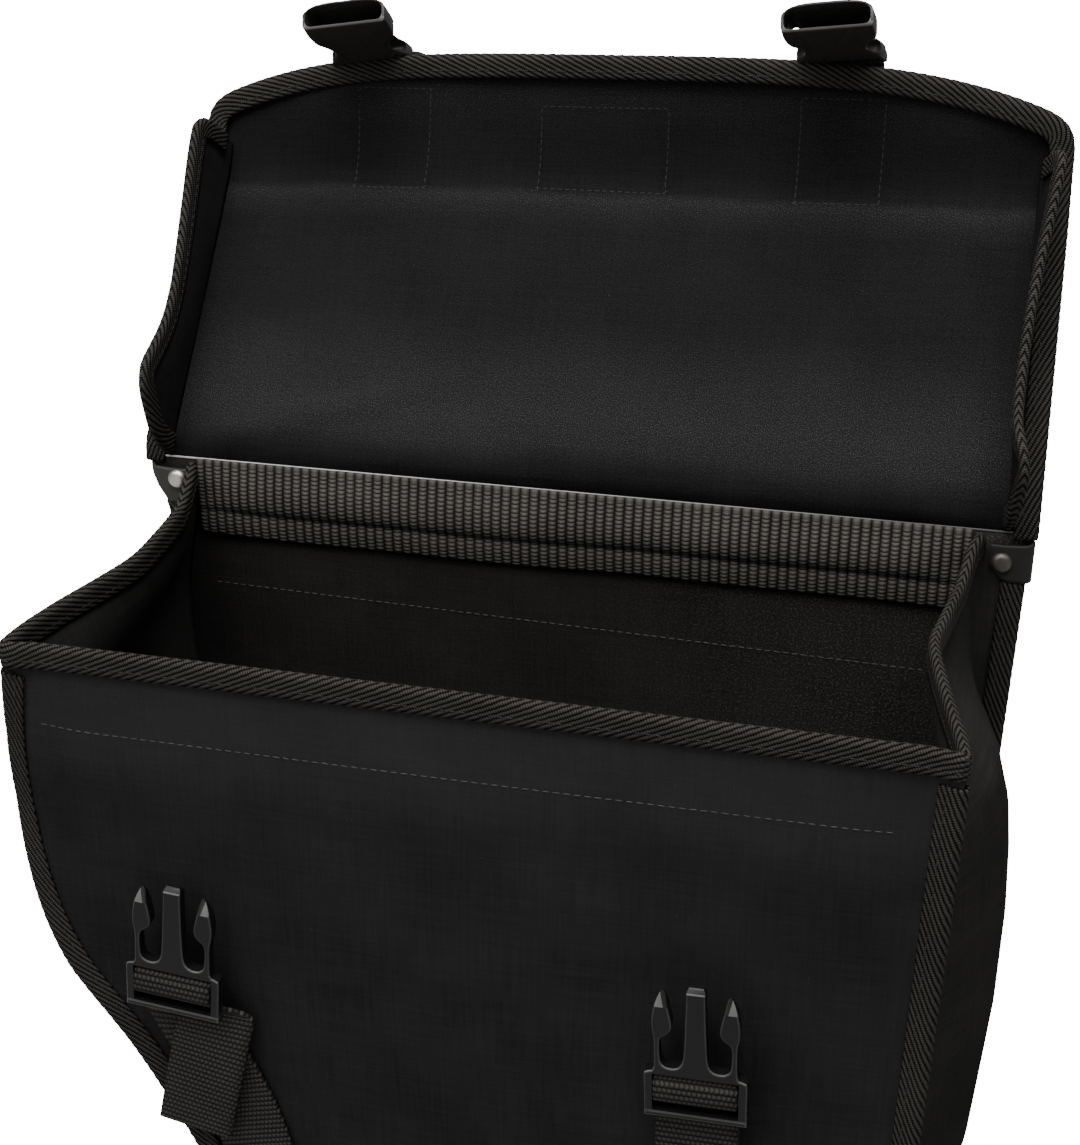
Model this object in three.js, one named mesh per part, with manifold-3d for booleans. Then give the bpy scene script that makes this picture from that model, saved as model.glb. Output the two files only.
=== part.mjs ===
// Double pannier bag: two canvas bags joined by a bridge panel that lies on a bicycle rack.
// Millimetres, +Z up, floor at z = 0. -X is the bicycle's front, where both heel cuts are, and -Y its left.
// The left bag stands open, the right bag is closed with its buckles fastened.
import * as THREE from 'three';
import Module from 'manifold-3d';
import { mergeVertices } from 'three/addons/utils/BufferGeometryUtils.js';

const wasm = await Module();
wasm.setup();

// Cloth, tape and webbing
const CLOTH = 1.6;
const GAP = 0.3;
const TAPE = 1.0;
const TAPE_LEG = 11;
const WEBBING = 1.8;
const WEBBING_WIDTH = 32;
const VINYL = 1.5;

// Bag body: heights are measured from the floor, drops from the mouth
const HEIGHT = 330;
const DEPTH = 162;
const BRIDGE_WIDTH = 140;
const FRONT_FLANGE = 11.5;
const BACK_FLANGE = { foot: 11.5, top: 18 };
const BACK_SPREAD = 1.086;
const BACK_SHIFT = 3.5;
const BACK_RISE = 10;
const MIDDLE_X = 2.6;
const MOUTH_SLACK = 0.7;
const FOOT = TAPE + GAP;
const RIM_CLEAR = 0.4;
const SEAM_TOP = TAPE_LEG + RIM_CLEAR;
const UPRIGHT_RIM = 14;
const BELLY_REACH = 1.12;

// Fore edge of the front panel with its heel cut, from the mouth down
const FORE_EDGE = [
  { drop: SEAM_TOP, x: -181 },
  { drop: 54, x: -185 },
  { drop: 106, x: -182 },
  { drop: 146, x: -171 },
  { drop: 190, x: -145 },
  { drop: 237, x: -122 },
  { drop: 288, x: -103 },
];
const FORE_CORNER = { bend: -88, end: -54 };
const AFT_CORNER = { start: 122, bend: 172.5, drop: 280, x: 173.5 };
const AFT_TOP = 180;
const FORE_TOP = -181;

// Segments along the seam, and spans across the gusset
const SEAM_STEPS = { edge: 8, corner: 4, floor: 3 };
const GUSSET_SPANS = 6;

// How far the gusset swells out between its seams, by drop, with the bag open and closed
const SWELL = [
  { drop: 0, open: -10, closed: -17 },
  { drop: UPRIGHT_RIM, open: -10, closed: -17 },
  { drop: 60, open: -1, closed: -4 },
  { drop: 120, open: 12, closed: 10 },
  { drop: 200, open: 19, closed: 18 },
  { drop: 260, open: 14, closed: 14 },
  { drop: 315, open: 0, closed: 0 },
  { drop: HEIGHT, open: 0, closed: 0 },
];
const SWELL_POWER = 1.6;

// Lid: run along the cloth from its foot, lean from the vertical towards the back, open and closed
const LID_ROWS = [
  { run: 0, open: 0, closed: 0 },
  { run: 5, open: 0, closed: 0 },
  { run: 10, open: 18, closed: -40 },
  { run: 15, open: 34, closed: -76 },
  { run: 20, open: 36, closed: -93 },
  { run: 28, open: 36, closed: -94 },
  { run: 38, open: 36, closed: -94 },
  { run: 55, open: 36, closed: -94 },
  { run: 80, open: 36, closed: -94 },
  { run: 110, open: 36, closed: -95 },
  { run: 138, open: 34, closed: -100 },
  { run: 150, open: 26, closed: -124 },
  { run: 162, open: 12, closed: -150 },
  { run: 174, open: 1, closed: -166 },
  { run: 204, open: 0, closed: -172 },
];
const LID_CREASE = 154;
const LID_HALF = 199;
const DROP_HALF = 192;
const DROP_END = 25;
const DROP_POWER = 3.5;
const LID_COLUMNS = 10;
const LID_FOOT = { back: 1.5, rise: 4.3 };
const LID_TAPER = { from: 138, to: 162 };
const LID_TAPE_FROM = 3;
const EAR_ROOT = 11;

// Ears of the lid: how far each stands from the lid, by run
const EAR_ROWS = [
  { run: 15, reach: 17 },
  { run: 20, reach: 36 },
  { run: 28, reach: 49 },
  { run: 38, reach: 50 },
  { run: 55, reach: 41 },
  { run: 80, reach: 36 },
  { run: 110, reach: 34 },
  { run: 138, reach: 29 },
];

// Hinge webbing: rise from the mouth and stand-off from the back panel, creased below its middle
const HINGE_ROWS = [
  { rise: 11.5, off: 1.3 },
  { rise: 4, off: 4.6 },
  { rise: -3, off: 5 },
  { rise: -9, off: 2 },
  { rise: -25, off: 1.3 },
];
const HINGE_HALF = 171;
const PIPING = { height: 1.4, width: 1.0, half: 189 };

// Corner tabs and rivets on the back flange
const TAB = { leg: 16, bottom: 17, rise: 4, slack: 0.7, rivetIn: 9, rivetDrop: 4 };
const RIVET_PROFILE = [
  { r: 0, h: 0 },
  { r: 4.5, h: 0 },
  { r: 4.3, h: 0.9 },
  { r: 2.7, h: 2.1 },
  { r: 0, h: 2.6 },
];
const RIVET_SIDES = 12;

// Side-release buckle: socket with its strap bar at the bottom and its mouth at the top
const SOCKET = {
  length: 50,
  thick: 13,
  bar: 4.4,
  barTop: 6,
  slotTop: 8,
  slotHalf: 16.6,
  hollowHalf: 16.4,
  hollowThick: 7,
  hollowFloor: 11,
};
const SOCKET_SIDE = [
  { up: -2.2, half: 20 },
  { up: 7, half: 20 },
  { up: 15, half: 18 },
  { up: 31, half: 18 },
  { up: 40, half: 20.5 },
  { up: SOCKET.length, half: 21 },
];
const SOCKET_WINDOW = { from: 15, to: 31, thick: 4.6 };

// Plug: half outline of the frame, one prong and the centre blade, upwards from its shoulder
const PLUG = { thick: 5.5, frame: 23, bar: 5.5, slotHalf: 16.6, slotTop: -8 };
const PLUG_SIDE = [
  { across: 19.75, up: -PLUG.frame },
  { across: 19.75, up: -2 },
  { across: 17.5, up: 0 },
  { across: 14.5, up: 0.8 },
  { across: 13.6, up: 18 },
  { across: 15.9, up: 22.5 },
  { across: 14.2, up: 31 },
  { across: 11, up: 36 },
  { across: 10, up: 30 },
  { across: 9.6, up: 6 },
  { across: 7.5, up: 3.5 },
  { across: 3.3, up: 3.5 },
  { across: 3.3, up: 38 },
  { across: 1.8, up: 38.8 },
];

// Straps: where each is sewn to the front, to the lid, and how the parts hang
const STRAPS = [
  { end: 'fore', lidX: -99, anchorX: -45, plugX: -120.7, plugDrop: 154, plugTilt: 5, socketTilt: -22 },
  { end: 'aft', lidX: 104, anchorX: 93, plugX: 93.4, plugDrop: 164, plugTilt: -1.5, socketTilt: 4 },
];
const ANCHOR_HEIGHT = 22;
const STRAP_LIFT = 0.6;
const STRAP_STEPS = 5;
const STRAP_RISE_FROM = 0.5;
const STRAP_BELOW_PLUG = 11;
const LOOP_STEPS = 6;
const TAIL = 62;
const TAIL_STEPS = 3;
const LID_STRAP_START = 12;
const LID_STRAP_TAIL = 7;
const SOCKET_REACH = 14;

// Bridge: profile from its left hem over the rack, mirrored about the middle
const BRIDGE = { cloth: 3, half: 168 };
const BRIDGE_ROWS = [
  { side: 66.9, rise: -30 },
  { side: 66.9, rise: -6 },
  { side: 64, rise: 0.5 },
  { side: 57, rise: 3 },
];

// The two states of a bag
const OPEN = {
  key: 'open',
  mouthDepth: DEPTH,
  belly: 7,
  earFrom: 15,
  earTilt: { fore: 0, aft: 13 },
  fastened: false,
};
const CLOSED = {
  key: 'closed',
  mouthDepth: 130,
  belly: 4,
  earFrom: 28,
  earTilt: { fore: 0, aft: 0 },
  fastened: true,
};

// Finishes
const CANVAS = { color: 0x1b1b1d, roughness: 0.92, metalness: 0 };
const BINDING = { color: 0x3c3834, roughness: 0.85, metalness: 0 };
const STRAPPING = { color: 0x302d2a, roughness: 0.8, metalness: 0 };
const PLASTIC = { color: 0x0d0d0e, roughness: 0.3, metalness: 0 };
const TAB_VINYL = { color: 0x47453f, roughness: 0.55, metalness: 0 };
const RIVET_METAL = { color: 0x8d8b87, roughness: 0.3, metalness: 1 };
const PIPING_GREY = { color: 0x8f8f8f, roughness: 0.6, metalness: 0 };

const SIDES = [
  { end: 'fore', sign: -1, top: FORE_TOP },
  { end: 'aft', sign: 1, top: AFT_TOP },
];
const UP = new THREE.Vector3(0, 0, 1);
const CUT_OVER = 1;

function vec(x, y, z) {
  return new THREE.Vector3(x, y, z);
}

// Value of a table's column at a place along its key column, straight between rows
function lookup(rows, key, column, place) {
  const last = rows.length - 1;
  if (place <= rows[0][key]) return rows[0][column];
  if (place >= rows[last][key]) return rows[last][column];
  const i = rows.findIndex((row) => row[key] > place);
  const t = (place - rows[i - 1][key]) / (rows[i][key] - rows[i - 1][key]);
  return THREE.MathUtils.lerp(rows[i - 1][column], rows[i][column], t);
}

// Closed body from points and triangles, with its faces turned outwards
function closedBody(points, triangles) {
  const across = new THREE.Vector3();
  let volume = 0;
  for (const [a, b, c] of triangles) {
    volume += points[a].dot(across.crossVectors(points[b], points[c]));
  }
  const turned = volume > 0 ? triangles : triangles.map(([a, b, c]) => [a, c, b]);
  const geometry = new THREE.BufferGeometry().setFromPoints(points);
  geometry.setIndex(turned.flat());
  return geometry;
}

// Cloth wall: a surface of quads grown by half its thickness to each side and closed round its edge
function clothWall(points, quads, thickness) {
  const normals = quads.map(([a, b, c, d]) => {
    const p = points[c].clone().sub(points[a]);
    const q = points[d].clone().sub(points[b]);
    return p.cross(q).normalize();
  });
  const around = points.map(() => []);
  quads.forEach((quad, face) => quad.forEach((corner) => around[corner].push(normals[face])));
  const lift = points.map((_, i) => {
    const mean = around[i].reduce((sum, n) => sum.add(n), new THREE.Vector3()).normalize();
    const spread = around[i].reduce((sum, n) => sum + n.dot(mean), 0) / around[i].length;
    return mean.multiplyScalar(thickness / 2 / spread);
  });
  const count = points.length;
  const both = [
    ...points.map((p, i) => p.clone().add(lift[i])),
    ...points.map((p, i) => p.clone().sub(lift[i])),
  ];
  const triangles = [];
  const edges = new Map();
  for (const [a, b, c, d] of quads) {
    triangles.push([a, b, c], [a, c, d]);
    triangles.push([a + count, c + count, b + count], [a + count, d + count, c + count]);
    for (const [from, to] of [[a, b], [b, c], [c, d], [d, a]]) {
      if (!edges.delete(`${to} ${from}`)) edges.set(`${from} ${to}`, [from, to]);
    }
  }
  for (const [from, to] of edges.values()) {
    triangles.push([to, from, from + count], [to, from + count, to + count]);
  }
  return closedBody(both, triangles);
}

// Quads of a grid of rows and columns whose points are listed row by row
function gridQuads(rows, columns) {
  const quads = [];
  for (let r = 0; r < rows - 1; r += 1) {
    for (let c = 0; c < columns - 1; c += 1) {
      const i = r * columns + c;
      quads.push([i, i + 1, i + columns + 1, i + columns]);
    }
  }
  return quads;
}

// Solid of one section swept through stations; a section point is (along out, along side)
function sweep(section, stations) {
  const count = section.length;
  const points = stations.flatMap(({ at, out, side }) => section.map((p) => (
    at.clone().addScaledVector(out, p.x).addScaledVector(side, p.y)
  )));
  const triangles = [];
  for (let s = 0; s < stations.length - 1; s += 1) {
    for (let k = 0; k < count; k += 1) {
      const a = s * count + k;
      const b = s * count + ((k + 1) % count);
      triangles.push([a, b, b + count], [a, b + count, a + count]);
    }
  }
  const far = (stations.length - 1) * count;
  for (const [a, b, c] of THREE.ShapeUtils.triangulateShape(section, [])) {
    triangles.push([a, c, b], [far + a, far + b, far + c]);
  }
  return closedBody(points, triangles);
}

// Flat section from low to high, and half its thickness to each side
function rectangle(low, high, half) {
  return [
    new THREE.Vector2(low, -half),
    new THREE.Vector2(high, -half),
    new THREE.Vector2(high, half),
    new THREE.Vector2(low, half),
  ];
}

// Folded tape: a channel whose slot is filled by layers of the given thickness, with clearance each side
function tapeSection(filling, thickness = TAPE, leg = TAPE_LEG) {
  const inner = filling / 2 + GAP;
  const outer = inner + thickness;
  const ridge = GAP + thickness;
  const rim = ridge - leg;
  return [
    new THREE.Vector2(rim, -outer),
    new THREE.Vector2(ridge, -outer),
    new THREE.Vector2(ridge, outer),
    new THREE.Vector2(rim, outer),
    new THREE.Vector2(rim, inner),
    new THREE.Vector2(GAP, inner),
    new THREE.Vector2(GAP, -inner),
    new THREE.Vector2(rim, -inner),
  ];
}
const STRAP_SECTION = rectangle(-WEBBING_WIDTH / 2, WEBBING_WIDTH / 2, WEBBING / 2);
const SEAM_FILLING = 2 * CLOTH + GAP;
const LID_FILLING = SEAM_FILLING + GAP;
const SEAM_MIDDLE = (CLOTH + GAP) / 2;

// Outward normals of a flat run of points, lengthened at the corners so that offsets stay parallel
function mitredNormals(points, turn) {
  const edges = points.slice(1).map((p, i) => {
    const d = p.clone().sub(points[i]).normalize();
    return new THREE.Vector2(-d.y * turn, d.x * turn);
  });
  return points.map((_, i) => {
    const before = edges[Math.max(i - 1, 0)];
    const after = edges[Math.min(i, edges.length - 1)];
    const middle = before.clone().add(after).normalize();
    return middle.divideScalar(middle.dot(after));
  });
}

// Solids for joining and cutting
function toSolid(geometry) {
  const bare = geometry.clone();
  bare.deleteAttribute('normal');
  bare.deleteAttribute('uv');
  const merged = mergeVertices(bare, 1e-4);
  return new wasm.Manifold(new wasm.Mesh({
    numProp: 3,
    vertProperties: new Float32Array(merged.attributes.position.array),
    triVerts: new Uint32Array(merged.index.array),
  }));
}

function fromSolid(solid) {
  const mesh = solid.getMesh();
  const geometry = new THREE.BufferGeometry();
  geometry.setAttribute('position', new THREE.BufferAttribute(mesh.vertProperties, 3));
  geometry.setIndex(new THREE.BufferAttribute(mesh.triVerts, 1));
  return geometry;
}

function piece(name, geometry, finish) {
  const mesh = new THREE.Mesh(geometry, new THREE.MeshStandardMaterial(finish));
  mesh.name = name;
  return mesh;
}

// Seam line of the front panel in x and height, from the fore top round the floor to the aft top
function seamLine() {
  const edge = FORE_EDGE.map(({ drop, x }) => new THREE.Vector2(x, HEIGHT - drop));
  const foreEnd = edge[edge.length - 1];
  const floor = [FORE_CORNER.bend, FORE_CORNER.end, AFT_CORNER.start, AFT_CORNER.bend]
    .map((x) => new THREE.Vector2(x, FOOT));
  const aftStart = new THREE.Vector2(AFT_CORNER.x, HEIGHT - AFT_CORNER.drop);
  const aftEnd = new THREE.Vector2(AFT_TOP, HEIGHT - SEAM_TOP);
  const stretches = [
    { curve: new THREE.SplineCurve(edge), steps: SEAM_STEPS.edge },
    { curve: new THREE.QuadraticBezierCurve(foreEnd, floor[0], floor[1]), steps: SEAM_STEPS.corner },
    { curve: new THREE.LineCurve(floor[1], floor[2]), steps: SEAM_STEPS.floor },
    { curve: new THREE.QuadraticBezierCurve(floor[2], floor[3], aftStart), steps: SEAM_STEPS.corner },
    { curve: new THREE.LineCurve(aftStart, aftEnd), steps: SEAM_STEPS.edge },
  ];
  const points = [stretches[0].curve.getPoint(0)];
  for (const { curve, steps } of stretches) points.push(...curve.getSpacedPoints(steps).slice(1));
  return points;
}

// The back panel is the front panel's outline, wider and moved aft
function backX(frontX) {
  return frontX * BACK_SPREAD + BACK_SHIFT;
}

// Outward normals along a seam, level at the two rims
function seamNormals(line) {
  const normals = mitredNormals(line, -1);
  normals[0].set(-1, 0);
  normals[normals.length - 1].set(1, 0);
  return normals;
}

const FRONT_LINE = seamLine();
const BACK_LINE = FRONT_LINE.map((p) => new THREE.Vector2(backX(p.x), p.y));
const FRONT_OUT = seamNormals(FRONT_LINE);
const BACK_OUT = seamNormals(BACK_LINE);
const CORNER_MIDDLE = SEAM_STEPS.edge + SEAM_STEPS.corner / 2;
const RIM = HEIGHT - TAPE - GAP;
const FRONT_RIM = [new THREE.Vector2(FORE_TOP, RIM), new THREE.Vector2(AFT_TOP, RIM)];

function backFlange(z) {
  return THREE.MathUtils.lerp(BACK_FLANGE.foot, BACK_FLANGE.top, z / HEIGHT);
}

// Front panel's distance from the back, upright at the rim, and its belly between the seams
function frontDepth(state, z) {
  const t = THREE.MathUtils.smoothstep(HEIGHT - z, UPRIGHT_RIM, HEIGHT);
  return THREE.MathUtils.lerp(state.mouthDepth, DEPTH, t);
}

// Direction into the bag, square to the seam surface
function frontInward(state, z) {
  const slope = frontDepth(state, z + 0.5) - frontDepth(state, z - 0.5);
  return vec(0, 1, slope).normalize();
}

function frontBelly(state, x, z) {
  const heights = FRONT_LINE.map((p) => ({ x: p.x, z: p.y }));
  const fore = lookup(heights.slice(0, CORNER_MIDDLE + 1).reverse(), 'z', 'x', z);
  const aft = lookup(heights.slice(-CORNER_MIDDLE - 1), 'z', 'x', z);
  const across = ((2 * x - fore - aft) / (aft - fore)) * BELLY_REACH;
  const down = Math.sin((Math.PI * (HEIGHT - z)) / HEIGHT);
  return state.belly * Math.max(1 - across ** 2, 0) ** 2 * down ** 2;
}

// A point on the front seam surface, a layer further in for each cloth behind it
function frontPoint(state, x, z, layer) {
  return vec(x, -frontDepth(state, z), z).addScaledVector(frontInward(state, z), layer);
}

function backPoint(x, z, layer) {
  return vec(x, -CLOTH / 2 - layer, z);
}

function frontPanel(state) {
  const fore = [FRONT_RIM[0], ...FRONT_LINE.slice(0, CORNER_MIDDLE + 1)];
  const aft = [FRONT_RIM[1], ...FRONT_LINE.slice(-CORNER_MIDDLE - 1).reverse()];
  const floor = FRONT_LINE.slice(CORNER_MIDDLE, FRONT_LINE.length - CORNER_MIDDLE);
  const rows = fore.length;
  const columns = floor.length;
  const points = [];
  for (let r = 0; r < rows; r += 1) {
    for (let c = 0; c < columns; c += 1) {
      const u = c / (columns - 1);
      const v = r / (rows - 1);
      const across = fore[r].clone().lerp(aft[r], u);
      const down = fore[0].clone().lerp(aft[0], u).lerp(floor[c], v);
      const top = fore[0].clone().lerp(aft[0], u);
      const bottom = fore[rows - 1].clone().lerp(aft[rows - 1], u);
      const flat = across.add(down).sub(top.lerp(bottom, v));
      const p = frontPoint(state, flat.x, flat.y, 0);
      p.y -= frontBelly(state, flat.x, flat.y);
      points.push(p);
    }
  }
  return clothWall(points, gridQuads(rows, columns), CLOTH);
}

// Gusset stations: the rim at each end, and between them the seam stations that carry the two lips
function gussetStations(state) {
  const layer = CLOTH + GAP;
  const rimStation = (k, frontX) => {
    const back = new THREE.Vector2(backX(frontX), RIM);
    return { flat: new THREE.Vector2(frontX, RIM), back, k };
  };
  const seam = FRONT_LINE.map((flat, k) => ({ flat, back: BACK_LINE[k], k, lips: true }));
  const stations = [rimStation(0, FORE_TOP), ...seam, rimStation(seam.length - 1, AFT_TOP)];
  return stations.map(({ flat, back, k, lips }) => {
    const frontIn = flat.clone().addScaledVector(FRONT_OUT[k], -FRONT_FLANGE);
    const backIn = back.clone().addScaledVector(BACK_OUT[k], -backFlange(back.y));
    const outward = vec(FRONT_OUT[k].x, 0, FRONT_OUT[k].y).normalize();
    const swell = lookup(SWELL, 'drop', state.key, HEIGHT - flat.y);
    const start = frontPoint(state, frontIn.x, frontIn.y, layer);
    const end = backPoint(backIn.x, backIn.y, layer);
    const web = [];
    for (let s = 0; s <= GUSSET_SPANS; s += 1) {
      const w = s / GUSSET_SPANS;
      const bulge = swell * Math.sin(Math.PI * w) ** SWELL_POWER;
      web.push(start.clone().lerp(end, w).addScaledVector(outward, s % GUSSET_SPANS ? bulge : 0));
    }
    const lipPoints = lips
      ? [frontPoint(state, flat.x, flat.y, layer), backPoint(back.x, back.y, layer)]
      : null;
    return { web, lipPoints };
  });
}

function gusset(state) {
  const stations = gussetStations(state);
  const points = [];
  const index = stations.map(({ web, lipPoints }) => {
    const first = points.length;
    points.push(...web);
    if (lipPoints) points.push(...lipPoints);
    const lips = lipPoints ? [first + web.length, first + web.length + 1] : null;
    return { web: web.map((_, i) => first + i), lips };
  });
  const quads = [];
  for (let s = 0; s < index.length - 1; s += 1) {
    const here = index[s];
    const next = index[s + 1];
    for (let i = 0; i < GUSSET_SPANS; i += 1) {
      quads.push([here.web[i], here.web[i + 1], next.web[i + 1], next.web[i]]);
    }
    if (here.lips && next.lips) {
      const end = GUSSET_SPANS;
      quads.push([here.lips[0], here.web[0], next.web[0], next.lips[0]]);
      quads.push([here.web[end], here.lips[1], next.lips[1], next.web[end]]);
    }
  }
  return clothWall(points, quads, CLOTH);
}

function backPanel() {
  const top = HEIGHT + BACK_RISE;
  const corners = [AFT_TOP, FORE_TOP].map((x) => new THREE.Vector2(backX(x), top));
  const shape = new THREE.Shape([...BACK_LINE, ...corners]);
  const geometry = new THREE.ExtrudeGeometry(shape, { depth: CLOTH, bevelEnabled: false });
  return geometry.rotateX(Math.PI / 2);
}

function frontSeamBinding(state) {
  const stations = FRONT_LINE.map((p, k) => {
    const n = FRONT_OUT[k];
    const at = frontPoint(state, p.x, p.y, SEAM_MIDDLE);
    const step = frontPoint(state, p.x + n.x / 2, p.y + n.y / 2, SEAM_MIDDLE);
    const out = step.sub(frontPoint(state, p.x - n.x / 2, p.y - n.y / 2, SEAM_MIDDLE));
    return { at, out, side: frontInward(state, p.y) };
  });
  return sweep(tapeSection(SEAM_FILLING), stations);
}

// The back binding stops below the corner tabs
function backSeamBinding() {
  const top = HEIGHT - TAB.bottom - GAP;
  const last = BACK_LINE.length - 1;
  const line = BACK_LINE.map((p) => p.clone());
  for (const [end, next] of [[0, 1], [last, last - 1]]) {
    line[end].lerp(line[next], (line[end].y - top) / (line[end].y - line[next].y));
  }
  const stations = line.map((p, k) => {
    const n = BACK_OUT[k];
    return { at: backPoint(p.x, p.y, SEAM_MIDDLE), out: vec(n.x, 0, n.y), side: vec(0, 1, 0) };
  });
  return sweep(tapeSection(SEAM_FILLING), stations);
}

// Mouth tape: one run over the front edge and one over each gusset edge, joined at the front corners
function mouthBinding(state) {
  const inner = CLOTH / 2 + MOUTH_SLACK;
  const tape = rectangle(-TAPE_LEG, 0, inner + TAPE);
  const slot = rectangle(-TAPE_LEG - CUT_OVER, -TAPE, inner);
  const frontRun = (over) => [FORE_TOP - over, AFT_TOP + over].map((x) => ({
    at: vec(x, -state.mouthDepth, HEIGHT),
    out: UP,
    side: vec(0, 1, 0),
  }));
  const stations = gussetStations(state);
  const rims = [stations[0], stations[stations.length - 1]].map(({ web }) => {
    const run = web.map((p) => vec(p.x, p.y, HEIGHT));
    run[0].y = -state.mouthDepth;
    run[GUSSET_SPANS].y = -CLOTH - GAP - TAPE;
    return run.map((at, i) => {
      const along = run[Math.min(i + 1, GUSSET_SPANS)].clone().sub(run[Math.max(i - 1, 0)]).normalize();
      return { at, out: UP, side: along.cross(UP) };
    });
  });
  const tapes = [frontRun(GAP + TAPE), ...rims].map((run) => toSolid(sweep(tape, run)));
  const slots = [frontRun(GAP), ...rims].map((run) => toSolid(sweep(slot, run)));
  const joined = tapes.reduce((all, next) => all.add(next));
  return fromSolid(slots.reduce((left, next) => left.subtract(next), joined));
}

function hingeWebbing() {
  const points = HINGE_ROWS.flatMap(({ rise, off }) => [-HINGE_HALF, HINGE_HALF].map((x) => (
    vec(x + BACK_SHIFT, -CLOTH - off, HEIGHT + rise)
  )));
  return clothWall(points, gridQuads(HINGE_ROWS.length, 2), WEBBING);
}

function hingePiping() {
  const low = HEIGHT + BACK_RISE + GAP;
  const section = rectangle(0, PIPING.height, PIPING.width / 2);
  const stations = [-PIPING.half, PIPING.half].map((x) => ({
    at: vec(x + BACK_SHIFT, -CLOTH + PIPING.width / 2, low),
    out: UP,
    side: vec(0, 1, 0),
  }));
  return sweep(section, stations);
}

// Lid profile: each stretch between two rows is an arc, and the last one runs on straight
function lidProfile(state) {
  const radians = LID_ROWS.map((row) => THREE.MathUtils.degToRad(row[state.key]));
  const arc = (from, to, length) => {
    const half = (to - from) / 2;
    const chord = half ? (length * Math.sin(half)) / half : length;
    const mean = (from + to) / 2;
    return vec(0, chord * Math.sin(mean), chord * Math.cos(mean));
  };
  const nodes = [vec(0, LID_FOOT.back, HEIGHT + LID_FOOT.rise)];
  for (let i = 1; i < LID_ROWS.length; i += 1) {
    const length = LID_ROWS[i].run - LID_ROWS[i - 1].run;
    nodes.push(nodes[i - 1].clone().add(arc(radians[i - 1], radians[i], length)));
  }
  const leanAt = (run) => THREE.MathUtils.degToRad(lookup(LID_ROWS, 'run', state.key, run));
  const along = (run) => vec(0, Math.sin(leanAt(run)), Math.cos(leanAt(run)));
  const inward = (run) => vec(0, -Math.cos(leanAt(run)), Math.sin(leanAt(run)));
  const point = (x, run, layer) => {
    const after = LID_ROWS.findIndex((row) => row.run > run);
    const i = (after < 0 ? LID_ROWS.length : after) - 1;
    const p = nodes[i].clone().add(arc(radians[i], leanAt(run), run - LID_ROWS[i].run));
    return p.setX(x).addScaledVector(inward(run), layer);
  };
  return { along, inward, point };
}

const LID_LENGTH = LID_ROWS[LID_ROWS.length - 1].run;
const DROP_MIDDLE = LID_LENGTH - LID_CREASE;

// Run of a lid row at a place across it: past the crease the rows close up towards the corners
function lidRun(run, across) {
  const reach = DROP_MIDDLE - (DROP_MIDDLE - DROP_END) * Math.abs(across) ** DROP_POWER;
  return run <= LID_CREASE ? run : LID_CREASE + ((run - LID_CREASE) * reach) / DROP_MIDDLE;
}

function lidHalf(run) {
  const taper = THREE.MathUtils.smoothstep(run, LID_TAPER.from, LID_TAPER.to);
  return THREE.MathUtils.lerp(LID_HALF, DROP_HALF, taper);
}

function lidX(run, across) {
  return BACK_SHIFT + across * lidHalf(run);
}

function lidPanel(profile) {
  const points = [];
  for (const { run } of LID_ROWS) {
    for (let c = 0; c <= LID_COLUMNS; c += 1) {
      const across = (2 * c) / LID_COLUMNS - 1;
      points.push(profile.point(lidX(run, across), lidRun(run, across), 0));
    }
  }
  return clothWall(points, gridQuads(LID_ROWS.length, LID_COLUMNS + 1), CLOTH);
}

// The lid's tape goes up one side, over the arched drop and down the other side
function lidBinding(profile) {
  const sideRuns = LID_ROWS.slice(LID_TAPE_FROM).map(({ run }) => run);
  const places = [
    ...sideRuns.map((run) => ({ run, across: -1 })),
    ...Array.from({ length: LID_COLUMNS - 1 }, (_, c) => ({
      run: LID_LENGTH,
      across: (2 * (c + 1)) / LID_COLUMNS - 1,
    })),
    ...sideRuns.toReversed().map((run) => ({ run, across: 1 })),
  ];
  const flat = places.map(({ run, across }) => new THREE.Vector2(lidX(run, across), lidRun(run, across)));
  const normals = mitredNormals(flat, 1);
  const stations = flat.map((p, i) => ({
    at: profile.point(p.x, p.y, SEAM_MIDDLE),
    out: profile.along(p.y).multiplyScalar(normals[i].y).setX(normals[i].x),
    side: profile.inward(p.y),
  }));
  return sweep(tapeSection(LID_FILLING), stations);
}

// An ear's rows: its lip under the lid's tape, its root and its reach away from the lid
function earRows(state, profile, side) {
  const tilt = Math.tan(THREE.MathUtils.degToRad(state.earTilt[side.end]));
  return EAR_ROWS.filter(({ run }) => run >= state.earFrom).map(({ run, reach }) => {
    const tip = BACK_SHIFT + side.sign * LID_HALF;
    const root = tip - side.sign * EAR_ROOT;
    const layer = CLOTH + GAP;
    const at = (share) => profile.point(root - side.sign * tilt * reach * share, run, layer + reach * share);
    return { run, reach, points: [profile.point(tip, run, layer), at(0), at(0.5), at(1)] };
  });
}

function ear(state, profile, side) {
  const rows = earRows(state, profile, side);
  const points = rows.flatMap((row) => row.points);
  return clothWall(points, gridQuads(rows.length, rows[0].points.length), CLOTH);
}

function earBinding(state, profile, side) {
  const rows = earRows(state, profile, side);
  const last = rows[rows.length - 1];
  const edge = rows.map(({ run, reach, points }) => {
    const flat = new THREE.Vector2(run, reach);
    return { run, flat, at: points[3] };
  });
  edge.push({ run: last.run, flat: new THREE.Vector2(last.run, last.reach / 2), at: last.points[2] });
  const normals = mitredNormals(edge.map(({ flat }) => flat), 1);
  const stations = edge.map(({ run, at }, i) => {
    const standing = last.points[3].clone().sub(last.points[1]).divideScalar(last.reach);
    const along = profile.along(run);
    const out = along.clone().multiplyScalar(normals[i].x).addScaledVector(standing, normals[i].y);
    return { at, out, side: along.cross(standing).normalize() };
  });
  return sweep(tapeSection(CLOTH), stations);
}

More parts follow.
